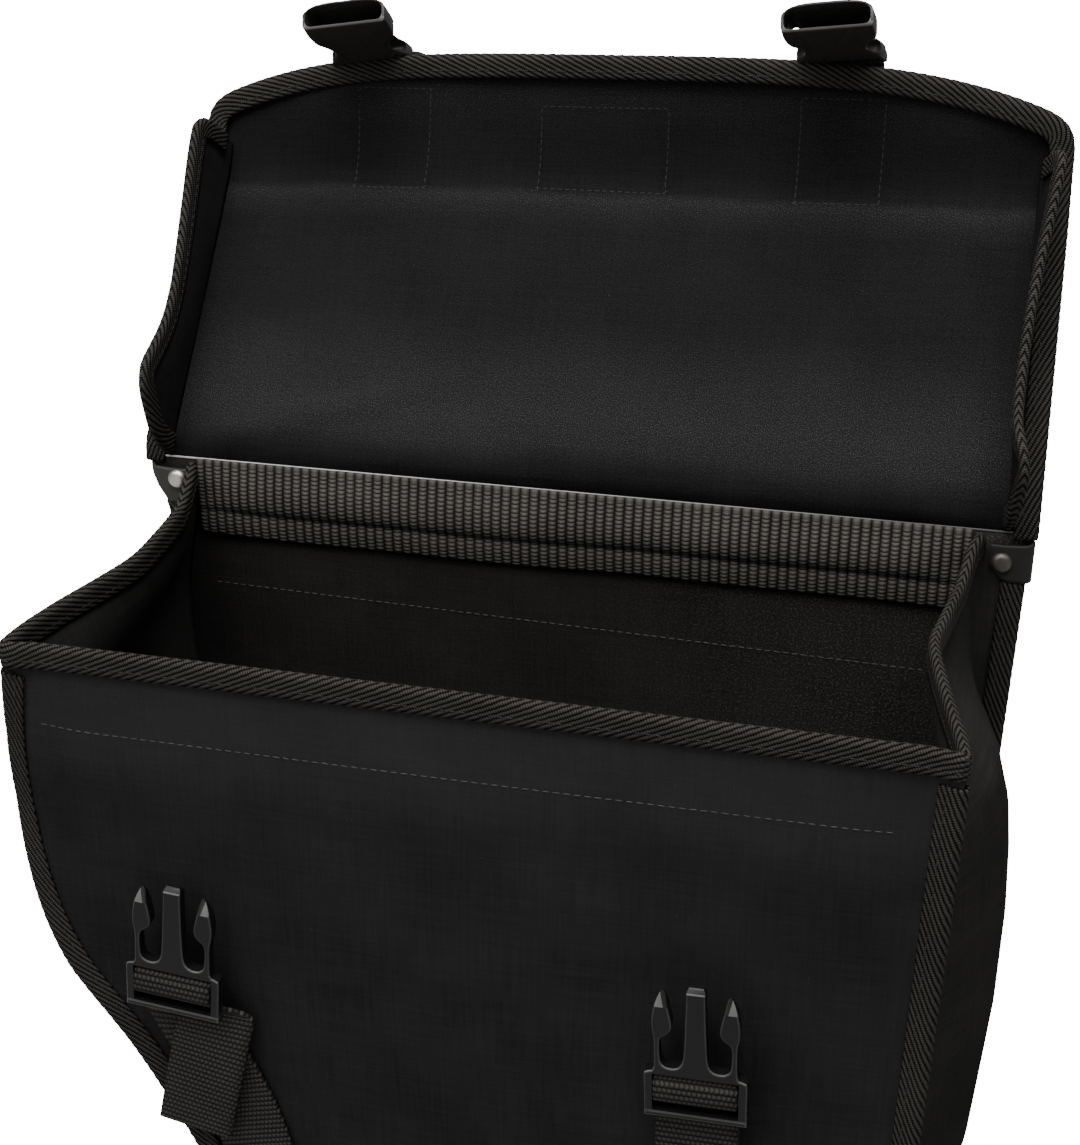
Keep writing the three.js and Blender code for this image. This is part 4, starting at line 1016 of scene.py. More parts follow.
def lid_profile(bag):
    run = np.arange(0, 240.5, LID_STEP)
    lean = np.radians(look_up(LID_LEAN, run, 1 if bag["open"] else 2))
    lean = eased(lean[:, None], LID_EASE)[:, 0]
    middle = (lean[1:] + lean[:-1]) / 2
    y = LID_FOOT[0] + np.concatenate([[0], np.cumsum(LID_STEP * np.sin(middle))])
    z = LID_FOOT[1] + np.concatenate([[0], np.cumsum(LID_STEP * np.cos(middle))])
    return run, y, z, lean


PROFILES = {bag["name"]: lid_profile(bag) for bag in BAGS}


def lid_twist(bag, x):
    """Further lean of the open lid: its fore end lies further back than its aft end."""
    if not bag["open"]:
        return np.zeros_like(x)
    return np.radians(LID_TWIST_MIDDLE - LID_TWIST_END * (x - LID_MIDDLE) / LID_HALF)


def lid_frame(bag, run, x):
    """Along and inward directions of the lid at a run."""
    run, x = np.broadcast_arrays(np.asarray(run, float), np.asarray(x, float))
    runs, _, _, lean = PROFILES[bag["name"]]
    lean = np.interp(run, runs, lean) + lid_twist(bag, x) * smooth_between(run, 4, 20)
    return spread(0.0, np.sin(lean), np.cos(lean)), spread(0.0, -np.cos(lean), np.sin(lean))


def lid_point(bag, x, run, layer=0.0):
    x, run, layer = np.broadcast_arrays(*(np.asarray(a, float) for a in (x, run, layer)))
    runs, y, z, _ = PROFILES[bag["name"]]
    at_y, at_z = np.interp(LID_HINGE, runs, y), np.interp(LID_HINGE, runs, z)
    up, back = np.interp(run, runs, z) - at_z, np.interp(run, runs, y) - at_y
    turn = np.where(run > LID_HINGE, lid_twist(bag, x), 0)
    y = at_y + back * np.cos(turn) + up * np.sin(turn)
    z = at_z + up * np.cos(turn) - back * np.sin(turn)
    return spread(x, y, z) + layer[..., None] * lid_frame(bag, run, x)[1]


print("open lid's tip is", lid_point(LEFT, LID_MIDDLE, LID_LENGTH).round(1), "in its bag")

# %% Lid outline
LID_GRID, OUTLINE_STEP = (104, 110), 2.0


def drop_edge(a):
    """Run of the drop's arched edge, from its middle at 0 to its ends at -1 and 1."""
    return LID_LENGTH - (LID_LENGTH - LID_CREASE - DROP_END) * abs(a) ** DROP_POWER


def lid_outline():
    """Flat outline of the lid as x and run, from the fore foot over the arch to the aft foot."""
    up = np.arange(0, LID_CREASE + DROP_END, OUTLINE_STEP)
    half = LID_HALF + (DROP_HALF - LID_HALF) * smooth_between(up, 138, 162)
    a = np.linspace(-1, 1, 200)
    fore = np.stack([LID_MIDDLE - half, up], 1)
    top = np.stack([LID_MIDDLE + DROP_HALF * a, drop_edge(a)], 1)
    aft = np.stack([LID_MIDDLE + half[::-1], up[::-1]], 1)
    return eased(resample(np.vstack([fore, top, aft]), OUTLINE_STEP), LID_EASE)


LID_EDGE = lid_outline()
CORNER = int(np.argmax(LID_EDGE[: len(LID_EDGE) // 2, 1] > LID_CREASE + DROP_END - 3))
LID_FORE, LID_ARCH, LID_AFT = LID_EDGE[: CORNER + 1], LID_EDGE[CORNER:-CORNER], LID_EDGE[-CORNER - 1:]
print("lid edge tape:", round(lengths(LID_EDGE)[-1]), "mm")

# %% Lid cloth and tape
TAPE_START, SHUT_SLACK = 3.5, 0.45


def ridge(t):
    return np.exp(-(t**2))


def lid_ripple(bag, x, run):
    """Slack of the cloth: soft waves that fade towards the tape, and the open lid's few folds."""
    from_edge = LID_HALF - np.abs(x - LID_MIDDLE)
    inside = smooth_between(from_edge, 4, 50) * smooth_between(run, 6, 40)
    main = 1.1 * np.sin(x / 62 + 0.6) * np.sin(run / 38) + 0.8 * np.sin(x / 29 + run / 44)
    drop = smooth_between(run, 140, 175) * 1.0 * np.sin(x / 23 + 1.0)
    if not bag["open"]:
        return inside * (main + drop) * SHUT_SLACK
    foot = smooth_between(run, 3, 13) * (1 - smooth_between(run, 13, 70)) * smooth_between(x, -188, -20)
    slant = run - 5 - 0.36 * (x + 186)
    fold = ridge(slant / 8) * smooth_between(x, -186, -150) * (1 - smooth_between(x, -110, -30))
    crease = ridge((x - 116 - run / 12) / 6) * smooth_between(run, 8, 40) * (1 - smooth_between(run, 60, 100))
    corner = ridge((x - 152 + run / 2) / 9) * smooth_between(run, 4, 14) * (1 - smooth_between(run, 20, 46))
    folds = 3.4 * foot + 2.2 * fold + 1.0 * crease + 1.6 * corner
    return inside * (main + drop) + smooth_between(from_edge, 6, 24) * folds


def lid_panel(bag):
    flat = coons(LID_FORE, LID_AFT[::-1], LID_EDGE[[0, -1]], LID_ARCH, *LID_GRID)
    x, run = flat[..., 0], flat[..., 1]
    ripple = lid_ripple(bag, x, run)
    points = lid_point(bag, x, run, ripple)
    obj = cloth(bag["name"] + "_lid_panel", bag, points, flat, LID_CLOTH_PAINTED_LIGHT_SHADE, "canvas")
    bag["name"] + "_back_panel"
    return ripple.max()


def lid_tape(bag):
    start = int(np.argmax(LID_EDGE[:, 1] > TAPE_START))
    edge = resample(LID_EDGE[start:-start], edge_step(bag))
    way = heading(edge)
    along, inward = lid_frame(bag, edge[:, 1], edge[:, 0])
    tips = lid_point(bag, edge[:, 0], edge[:, 1], SEAM_MIDDLE)
    out = along * way[:, :1]
    out[:, 0] = -way[:, 1]
    tape(bag["name"] + "_lid_binding", bag, tips, unit(out), inward, SEAM_FILL + GAP, ribs=-1)


for bag in BAGS:
    print(bag["name"], "lid stands off by up to", lid_panel(bag).round(1), "mm")
    lid_tape(bag)

# %% [markdown]
# ## Ears
# The lid has a flap at each side, wide near the hinge and narrow towards the drop, which keeps rain out
# when it is shut. Open, the aft one leans over the lid. An ear could be cut out of the lid's own cloth, but
# it is a piece of its own, sewn under the lid's edge, so its first rows lie flat on the lid and the rest
# stands up from there.

# %% Ears
EAR_OUTLINE = [(8.5, 2), (10.5, 11), (14, 25), (19.5, 38), (26, 43), (32, 43.5), (41, 39.5), (51, 35),
               (62, 32.3), (75, 32), (92, 32.5), (112, 33.5), (132, 35), (146, 36), (153, 34), (158.5, 25),
               (161, 8)]
CLOSED_EAR = [(26, 4), (28, 30), (32, 46), (40, 50), (55, 41.5), (80, 36), (110, 34), (128, 31), (136, 24),
              (139, 10)]
EAR_ROOT, CLOSED_ROOT, EAR_CURL, EAR_LEG = 11.0, 7.5, 1.6, 9.0
EAR_TILT = {"fore": [(0, 0), (75, 0), (110, -4), (135, -6), (165, -6)],
            "aft": [(0, -6), (20, -5.5), (27, -4), (33, -2.2), (42, 1), (55, 2), (75, 1), (90, -0.5),
                    (110, -3.5), (130, -7.5), (146, -10), (165, -13)]}
EAR_FLAT_TO = 130.0
LIP_SHARES, LIP_ACROSS, FLAP_ACROSS = (0.12, 0.5, 0.8), (-8, -5, -2), 40


def ear_frame(bag, end, sign, run, root):
    """Along and standing directions of an ear; an open one leans over the lid."""
    along, stand = lid_frame(bag, np.minimum(run, EAR_FLAT_TO), root)
    stand[:, 0] = -sign * np.tan(np.radians(look_up(EAR_TILT[end], run))) * bag["open"]
    return along, stand


def ear(bag, end, sign):
    edge = through(EAR_OUTLINE if bag["open"] else CLOSED_EAR, 2.0)
    lap = EAR_ROOT if bag["open"] else CLOSED_ROOT
    tip = LID_MIDDLE + sign * LID_HALF
    root = tip - sign * lap
    run, reach = edge[:, 0], edge[:, 1]
    _, stand = ear_frame(bag, end, sign, run, root)
    lip = [lid_point(bag, tip - sign * lap * q, run, LAYER) for q in LIP_SHARES]
    curl = EAR_CURL * np.sin(np.pi * np.clip((run - 20) / 110, 0, 1))
    rise = np.linspace(0, 1, 16)
    foot = lid_point(bag, root, run, LAYER)
    bulge = np.array([-sign, 0.0, 0.0]) * curl[:, None]
    flap = [foot + stand * (reach * q)[:, None] + bulge * math.sin(math.pi * q) for q in rise]
    across = np.concatenate([LIP_ACROSS, rise * FLAP_ACROSS])
    name = f"{bag['name']}_lid_ear_{end}"
    obj = cloth(name, bag, np.stack([*lip, *flap]), spread(run, across[:, None]), CANVAS, "canvas")
    area = np.trapz(reach + lap, run) * MM**2
    size = (float(np.ptp(run) * MM), float((reach.max() + lap) * MM))
    bag["name"] + "_lid_panel"
    ear_tape(bag, end, sign, root, np.column_stack([edge, flap[-1]]))
    return size


def ear_tape(bag, end, sign, root, edge):
    """Tape over an ear's rim; edge has the rim's place on the flat cloth and in the bag."""
    fine = resample(edge, FINE)
    way = heading(fine[:, :2])
    along, stand = ear_frame(bag, end, sign, fine[:, 0], root)
    stand = unit(stand)
    out = unit(along * -way[:, 1:2] + stand * way[:, :1])
    side = unit(np.cross(along, stand))
    tape(f"{bag['name']}_ear_binding_{end}", bag, fine[:, 2:], out, side, CLOTH, leg=EAR_LEG)


for bag in BAGS:
    print(bag["name"], "ears:", [ear(bag, end, sign) for end, sign in ENDS], "m")

# %% [markdown]
# ## Corner tabs and rivets
# A folded piece of vinyl caps the flange at each top corner of the back, held by a domed rivet. The tab is
# folded with the same section as the tapes. The rivet could be half a sphere, but a pressed one has a short
# wall and a flat crown, so it is a cylinder whose front rim is bevelled round.

# %% Tabs and rivets
TAB_LEG, TAB_LOW, TAB_HIGH, TAB_THICK = 19.0, -10.0, 7.5, 1.5
TAB_OUT, TAB_CUT, TAB_SLOPE = {"fore": 0.7, "aft": 2.0}, 8.5, 1.6
RIVET_IN, RIVET_DROP, RIVET_RADIUS = 9.0, {"fore": -2.0, "aft": 1.0}, 4.3
RIVET_DEPTH, RIVET_ROUND, RIVET_SIDES = 2.6, 2.1, 28


def choose(obj, kind, chosen):
    """Goes into edit mode with only some edges or faces selected."""
    bpy.ops.object.mode_set(mode="EDIT")
    bpy.ops.mesh.select_all(action="DESELECT")
    bpy.ops.mesh.select_mode(type=kind)
    bpy.ops.object.mode_set(mode="OBJECT")
    for part in chosen(obj.data):
        part.select = True
    bpy.ops.object.mode_set(mode="EDIT")


def corner_tab(bag, end, sign):
    tip = widened(np.array([(sign * 180.5 - 0.5, 0)]))[0, 0] + sign * TAB_OUT[end]
    fold = SEAM_FILL / 2 + GAP + TAB_THICK / 2
    across = np.linspace(-TAB_LEG, TAB_LEG, 25)[:, None]
    up, over, past = folded(across, fold)
    x = tip + sign * (up - fold * 0.6)
    y = -CLOTH / 2 - SEAM_MIDDLE + over
    inner = smooth_between(past, 2, 16)
    low = TAB_LOW + TAB_CUT * inner**3
    high = TAB_HIGH - TAB_SLOPE * inner + 0.8 * np.sin(across / 5)
    v = np.linspace(0, 1, 13)
    z = HEIGHT + low * (1 - v) + high * v
    points = spread(x + fore_pull(x, z), y, z)
    # The aft tab takes the darker vinyl, which is painted shade.
    cloth(f"{bag['name']}_corner_tab_{end}", bag, points, points[..., [0, 2]],
          VINYL if end == "fore" else PAINTED_SHADE_VINYL, "vinyl", TAB_THICK)
    face = -CLOTH / 2 - SEAM_MIDDLE - fold - TAB_THICK / 2
    rivet(bag, end, (tip - sign * (RIVET_IN + TAB_OUT[end]), face, HEIGHT - RIVET_DROP[end]))


def rivet(bag, end, at):
    """A short cylinder whose front rim is bevelled into a dome."""
    name = f"{bag['name']}_rivet_{end}"
    obj = blank(name, bpy.ops.mesh.primitive_cylinder_add, vertices=RIVET_SIDES, radius=RIVET_RADIUS * MM,
                depth=RIVET_DEPTH * MM)
    choose(obj, "EDGE", lambda mesh: [edge for edge in mesh.edges
                                      if all(mesh.vertices[v].co.z > 0 for v in edge.vertices)])
    bpy.ops.mesh.bevel(offset=RIVET_ROUND * MM, segments=5, affect="EDGES")
    bpy.ops.object.mode_set(mode="OBJECT")
    centre = to_row(np.array(at) - (0, RIVET_DEPTH / 2, 0), bag)
    turn = Matrix.Rotation(math.radians(90 * bag["side"]), 4, "X")
    obj.data.transform(Matrix.Translation(Vector(centre)) @ turn)
    bpy.ops.object.shade_smooth()
    dress(obj, NICKEL if end == "fore" else GUNMETAL, "rivet", name)


for bag in BAGS:
    for end, sign in ENDS:
        corner_tab(bag, end, sign)
print("rivets:", 2 * RIVET_RADIUS, "mm across")

# %% [markdown]
# ## Buckles
# Each side-release buckle has a socket on the lid and a plug on the front strap. Box modelling would do,
# but both are flat mouldings with curved sides. So each starts as half an outline that is mirrored, filled,
# pulled to its thickness and rounded by small insets, and its slots are cut out with boxes.

# %% Moulding helpers
OUTLINE_FINE, ROUND_STEPS = 1.6, 3


def alone(obj):
    """Makes an object the only one selected."""
    bpy.ops.object.select_all(action="DESELECT")
    obj.select_set(True)
    bpy.context.view_layer.objects.active = obj


def moulding(name, half, thick, bevel):
    """Fills a mirrored outline, pulls it to its thickness and rounds both faces by small insets."""
    right = through(half, OUTLINE_FINE)
    outline = np.vstack([right, right[::-1] * (-1, 1)])
    obj = blank(name, bpy.ops.mesh.primitive_circle_add, vertices=len(outline), radius=1, fill_type="NGON")
    for vertex, (x, z) in zip(obj.data.vertices, outline):
        vertex.co = (x * MM, (bevel - thick / 2) * MM, z * MM)
    bpy.ops.object.mode_set(mode="EDIT")
    bpy.ops.mesh.select_all(action="SELECT")
    bpy.ops.mesh.extrude_region_move(TRANSFORM_OT_translate={"value": (0, (thick - 2 * bevel) * MM, 0)})
    bpy.ops.mesh.select_all(action="SELECT")
    bpy.ops.mesh.normals_make_consistent(inside=False)
    bpy.ops.object.mode_set(mode="OBJECT")
    for side in (-1, 1):
        choose(obj, "FACE", lambda mesh: [wide_face(mesh, side)])
        turn = np.linspace(0, math.pi / 2, ROUND_STEPS + 1)
        for a, b in zip(turn[:-1], turn[1:]):
            inward, lift = (math.cos(a) - math.cos(b)) * bevel, (math.sin(b) - math.sin(a)) * bevel
            bpy.ops.mesh.inset(thickness=inward * MM, depth=lift * MM)
        bpy.ops.object.mode_set(mode="OBJECT")
    return obj


def wide_face(mesh, side):
    """The front or back of a moulding: of its two largest faces, the one on that side."""
    wide = sorted(mesh.polygons, key=lambda face: -face.area)[:2]
    return max(wide, key=lambda face: face.center.y * side)


def cut(obj, low, high, bevel=0.0):
    """Cuts a box out of a moulding; the box may have rounded edges."""
    low, high = np.array(low, float) * MM, np.array(high, float) * MM
    tool = blank("cutter", bpy.ops.mesh.primitive_cube_add, size=1, location=tuple((low + high) / 2),
                 scale=tuple(high - low))
    bpy.ops.object.transform_apply(location=True, rotation=True, scale=True)
    if bevel:
        apply_modifier(tool, "BEVEL", width=bevel * MM, segments=3)
    apply_modifier(obj, "BOOLEAN", object=tool, operation="DIFFERENCE", solver="EXACT")
    bpy.data.objects.remove(tool)


def slice_at(obj, place, normal=(0, 0, 1)):
    """Adds a clean row of edges across a moulding, so that its two sides can be shaped apart."""
    alone(obj)
    bpy.ops.object.mode_set(mode="EDIT")
    bpy.ops.mesh.select_all(action="SELECT")
    bpy.ops.mesh.bisect(plane_co=tuple(place * MM * n for n in normal), plane_no=normal)
    bpy.ops.object.mode_set(mode="OBJECT")


def mark_painted_highlights(obj, is_edge):
    """Marks the faces that get a painted highlight in the finish, most where they face up."""
    layer = obj.data.attributes.new("edge", "FLOAT", "FACE")
    # The share is largest on faces that point up, towards the top light: a painted highlight.
    share = [is_edge(f.center / MM, f.normal) * (0.2 + 0.8 * max(f.normal.z, 0)) for f in obj.data.polygons]
    layer.data.foreach_set("value", share)


def kept_mesh(obj):
    """The finished mesh of a moulding, whose own object is no longer needed."""
    bpy.ops.object.select_all(action="DESELECT")
    mesh = obj.data.copy()
    bpy.data.objects.remove(obj)
    return mesh


# %% Plug
PLUG_HALF = [(19.75, -22.2), (19.75, -12), (19.75, -2.4), (18.4, -1.0), (16.6, -0.4), (16.0, 1.2), (15.8, 7),
             (15.9, 15), (16.6, 19), (16.7, 24), (15.6, 30.5), (13.7, 35.6), (12.7, 36.6), (11.7, 35.4),
             (10.4, 29), (9.2, 22.5), (9.4, 19.4), (11.0, 17.4), (13.2, 15.5), (13.8, 12), (13.6, 6),
             (13.0, 3.2), (11.2, 1.7), (8.2, 1.5), (6.0, 2.8), (4.8, 6), (4.2, 14), (3.7, 30), (3.5, 38.2),
             (2.8, 39.2)]
PLUG_THICK, PLUG_BEVEL, BLADE_HALF = 5.5, 0.6, 6
TIP_FROM, TIP_TO, TIP_THIN = 30.0, 36.8, 0.9
TIP_SLANT, TIP_INNER = (0.969, 0, -0.247), 4.4
BLADE_FROM, BLADE_TO, BLADE_LINE, BLADE_THIN = 37.2, 39.4, 37.7, 0.8
BAR_LINE, BAR_LOW = -19.45, -20.5
SLOT = 16.6
PLUG_CUTS = [((-SLOT, -5, -5.4), (SLOT, 5, -1.9)), ((-SLOT, -5, -19.4), (SLOT, 5, -13), 1.0)]
PLUG_CUTS += [((-SLOT, side * 3.8 - 2.1, -14), (SLOT, side * 3.8 + 2.1, -4.9)) for side in (-1, 1)]
# Shares of painted highlight: strongest on the bar and the tips' lit bevels, weak on their shaded inner
# bevels.
BRIGHT_HIGHLIGHT, SHADED_BEVEL_HIGHLIGHT = 2.2, 0.15


def plug_painted_highlight(at, n):
    """How much painted highlight a face of the plug gets: the front's rims, most of all the tips' lit bevels
    and the bar, little on the tips' shaded inner bevels.
    """
    bar = BAR_LOW < at.z < BAR_LINE
    if at.y > 0 or not (bar or -0.975 < n.y < -0.2):
        return 0.0
    if abs(at.x) < BLADE_HALF and at.z > 0:
        return float(at.z < BLADE_LINE)
    if at.z > TIP_FROM:
        return BRIGHT_HIGHLIGHT if abs(at.x) * TIP_SLANT[0] + at.z * TIP_SLANT[2] > TIP_INNER else SHADED_BEVEL_HIGHLIGHT
    return BRIGHT_HIGHLIGHT if at.z < BAR_LINE else 1.0


def plug_mould():
    """Two prongs and a blade on a frame with a bar; the prongs and the blade thin out at their tips."""
    obj = moulding("plug_master", PLUG_HALF, PLUG_THICK, PLUG_BEVEL)
    for height in (TIP_FROM, BLADE_FROM):
        slice_at(obj, height)
    for vertex in obj.data.vertices:
        up, blade = vertex.co.z / MM, abs(vertex.co.x) < BLADE_HALF * MM
        low, high, thin = (BLADE_FROM, BLADE_TO, BLADE_THIN) if blade else (TIP_FROM, TIP_TO, TIP_THIN)
        vertex.co.y *= 1 - thin * min(max((up - low) / (high - low), 0), 1)
    for box in PLUG_CUTS:
        cut(obj, *box)
    # These slices part the faces that get a painted highlight: the blade's rim line, the bar's strip and the
    # tips' lit bevels.
    for height in (BLADE_LINE, BAR_LINE, BAR_LOW):
        slice_at(obj, height)
    for side in (-1, 1):
        slice_at(obj, TIP_INNER, (side * TIP_SLANT[0], 0, TIP_SLANT[2]))
    mark_painted_highlights(obj, plug_painted_highlight)
    return kept_mesh(obj)


PLUG_MESH = plug_mould()
print("plug faces:", len(PLUG_MESH.polygons))

# %% Socket
SOCKET_HALF = [(17.4, -2.2), (18.8, -0.6), (18.8, 6.5), (17.4, 12), (14.6, 16.5), (13.2, 21), (13.4, 25),
               (15.4, 29.5), (17.8, 33), (18.8, 37.5), (19.0, 43), (18.6, 50)]
SOCKET_THICK, SOCKET_BEVEL, SOCKET_RIM = 10.4, 1.9, 48
SOCKET_CUTS = [((-17.5, -4.1, 10), (17.5, 4.1, 60), 2.4), ((-SLOT, -9, 2.2), (SLOT, 9, 8), 0.8)]
SOCKET_CUTS += [((-30, side * 5.2 - 3, -6), (30, side * 5.2 + 3, 6.2), 1.0) for side in (-1, 1)]
ARCH_ROWS = (-17.6, -16.4, -14.8, -12.5, -9, -4.5, 0, 4.5, 9, 12.5, 14.8, 16.4, 17.6)
ARCH_HALF, ARCH_RISE, ARCH_LEAST = 19.2, 1.36, 0.3
BAR_SLIM = 0.62


def socket_mould():
    """A hood with thin walls, open at the waist, that tapers to the bar; its outer face is arched."""
    obj = moulding("socket_master", SOCKET_HALF, SOCKET_THICK, SOCKET_BEVEL)
    for box in SOCKET_CUTS:
        cut(obj, *box)
    for across in ARCH_ROWS:
        slice_at(obj, across, (1, 0, 0))
    for vertex in obj.data.vertices:
        x, up = vertex.co.x / MM, vertex.co.z / MM
        slim = BAR_SLIM + (1 - BAR_SLIM) * float(smooth_between(up, 5, 32))
        oval = max(ARCH_RISE * math.sqrt(max(1 - (abs(x) / ARCH_HALF) ** 4, 0)), ARCH_LEAST)
        arch = 1 + (oval - 1) * float(smooth_between(up, 12, 30))
        vertex.co.y *= slim * (arch if vertex.co.y > 0 else 1)
    # Painted highlight on the upward faces of the near rim.
    mark_painted_highlights(obj, lambda at, n: float(at.z > SOCKET_RIM and n.z > 0.6 and at.y < -1))
    return kept_mesh(obj)


SOCKET_MESH = socket_mould()
print("socket faces:", len(SOCKET_MESH.polygons))

# %% [markdown]
# ## Where the buckles sit
# On the shut bag the plug is in the socket. On the open bag the sockets have flopped over the lid's edge
# and the plugs hang on their straps. Each could be turned by hand until it looks right, but the straps have
# to meet the buckles too, so one function finds each bar and its directions for both.

# %% Placing the buckles
SOCKET_LENGTH, SOCKET_REACH, SOCKET_SMOOTH = 50.0, 14.0, 38
FLOP, FLOP_OUT = 59.0, 8.1
PLUG_BAR, PLUG_SMOOTH, STRAP_BEHIND = 20.25, 13, 8.5
STRAP_OFF = 0.6
STRAPS = [
    {"end": "fore", "lid": -99, "anchor": -80, "plug": -120.7, "drop": 154, "tilt": 5, "swing": 13,
     "yaw": -1.3, "roll": -9.3, "shift": -12, "rise": -2.8, "bow": 8},
    {"end": "aft", "lid": 104, "anchor": 93, "plug": 93.4, "drop": 164, "tilt": -1.5, "swing": 0,
     "yaw": -5.4, "roll": -7.9, "shift": -2.3, "rise": 1.3, "bow": 0},
]


def placed(mesh, material, name, bag, at, across, along, smooth):
    """A copy of a moulding with its own mesh, set in the bag by its width and length directions."""
    obj = linked(name, mesh.copy())
    across, along = unit(np.array(across, float)), unit(np.array(along, float))
    depth = np.cross(along, across)
    local = vertex_places(obj.data) / MM
    world = at + local[:, :1] * across + local[:, 1:2] * depth + local[:, 2:] * along
    obj.data.vertices.foreach_set("co", to_row(world, bag).astype(np.float32).ravel())
    if bag["side"] < 0:
        obj.data.flip_normals()
    obj.data.update()
    alone(obj)
    bpy.ops.object.shade_smooth_by_angle(angle=math.radians(smooth))
    dress(obj, material, "plastic", name)


def turned(vector, axis, degrees):
    """Turns vectors about an axis."""
    axis, angle = unit(np.array(axis, float)), math.radians(degrees)
    v = np.asarray(vector, float)
    along = (v @ axis)[..., None] * axis
    return along + (v - along) * math.cos(angle) + np.cross(axis, v) * math.sin(angle)


def strap_end(bag, strap):
    """Where the lid's strap carries its socket: straight on when shut, flopped over the edge when open."""
    edge = drop_edge((strap["lid"] - LID_MIDDLE) / DROP_HALF)
    along, inward = lid_frame(bag, edge, strap["lid"])
    across = np.array([1.0, 0, 0])
    bar = lid_point(bag, strap["lid"], edge) + along * SOCKET_REACH
    if bag["open"]:
        bar = bar + along * (strap["rise"] - SOCKET_REACH) - inward * FLOP_OUT + across * strap["shift"]
        along, inward = (turned(v, across, FLOP) for v in (along, inward))
        across, inward = (turned(v, along, -strap["roll"]) for v in (across, inward))
        across, along, inward = (turned(v, (0, 0, 1), strap["yaw"]) for v in (across, along, inward))
    return edge, bar, across, along, inward


def strap_plane(bag, x, z):
    """y of a strap's middle where it lies on the front."""
    belly = np.max([front_belly(bag, x + s * STRAP_WIDTH, z) for s in (-0.5, 0, 0.5)], axis=0)
    return -front_depth(bag, z) - belly - CLOTH / 2 - STRAP_OFF - STRAP / 2


def socket_place(bag, strap):
    _, bar, across, along, _ = strap_end(bag, strap)
    return bar, across, along


def plug_place(bag, strap):
    if not bag["open"]:
        at, across, along = socket_place(bag, strap)
        return at + along * (SOCKET_LENGTH + GAP), across, -along
    tilt = math.radians(strap["tilt"])
    along = np.array([math.sin(tilt), 0, math.cos(tilt)])
    z = HEIGHT - strap["drop"]
    bar = np.array([strap["plug"], strap_plane(bag, strap["plug"], z) - STRAP_BEHIND, z])
    return bar + along * PLUG_BAR, np.array([math.cos(tilt), 0, -math.sin(tilt)]), along


for bag in BAGS:
    for strap in STRAPS:
        socket_at, plug_at = socket_place(bag, strap), plug_place(bag, strap)
        name = bag["name"] + "_buckle_socket_" + strap["end"]
        placed(SOCKET_MESH, SOCKET_PLASTIC_PAINTED_LIGHT, name, bag, *socket_at, SOCKET_SMOOTH)
        name = bag["name"] + "_buckle_plug_" + strap["end"]
        placed(PLUG_MESH, PLASTIC, name, bag, *plug_at, PLUG_SMOOTH)
        print(name, "at", np.round(plug_at[0], 1))

# %% [markdown]
# ## Straps
# The lid straps are sewn on the outside of the drop and fold round the socket's bar. The front straps come
# up from the bottom, go round the plug's inner bar and hang down again as a tail. A strap could be three
# flat strips, but webbing bends in one length, so each is one smooth path through the points that it has
# to pass, with its width turning from one hold to the next.

# %% Lid straps
SOCKET_LOOP = 2.2 + GAP + STRAP / 2
SEWN_BELOW, PATH_STEP = 12, 1.2
ON_TAPE = -(SEAM_FILL / 2 + GAP + GAP + TAPE - SEAM_MIDDLE + GAP + STRAP / 2)
ON_CLOTH = -(CLOTH / 2 + 0.8 + STRAP / 2)


def lid_strap(bag, strap):
    edge, bar, across, along, inward = strap_end(bag, strap)
    route = [(LID_CREASE - SEWN_BELOW, ON_CLOTH), (LID_CREASE + 4, ON_CLOTH), (LID_CREASE + 20, ON_CLOTH),
             (edge - 15, ON_CLOTH), (edge - 10, ON_TAPE), (edge - 1, ON_TAPE)]
    flat = through(route, 1.5)
    fixed = lid_point(bag, strap["lid"], flat[:, 0], flat[:, 1])
    sweep = np.linspace(0, math.pi, 12)[:, None]
    loop = bar + SOCKET_LOOP * (np.sin(sweep) * along - np.cos(sweep) * inward)
    tail = bar - along * 7 + inward * SOCKET_LOOP * 0.8
    path = through(np.vstack([resample(fixed, 8.0), loop, [tail]]), PATH_STEP)
    leaves = lengths(fixed)[-1]
    share = smooth_between(lengths(path), leaves - 4, leaves + 9)[:, None]
    turn = unit(np.array([1.0, 0, 0]) * (1 - share) + across * share)
    ribbon(f"{bag['name']}_lid_strap_{strap['end']}", bag, path, turn)
    return lengths(path)[-1]


# %% Front straps
LOOP_ROUTE = [(7.0, -27), (6.2, -20), (4.6, -16.2), (3.0, -12.6), (2.9, -7.5), (2.2, -5.0), (0, -4.0),
              (-2.2, -5.0), (-2.9, -7.5), (-2.9, -11.2), (-2.1, -14.0), (1.2, -17.2), (3.6, -20), (4.1, -24)]
LOOP_SKEW = np.concatenate([np.zeros(len(LOOP_ROUTE) - 3), [0.2, 1.0, 1.25]])
TAIL_LENGTH, TAIL_ASIDE, TAIL_TURN = 62.0, -1.13, 110
ANCHOR_HEIGHT = 22.0


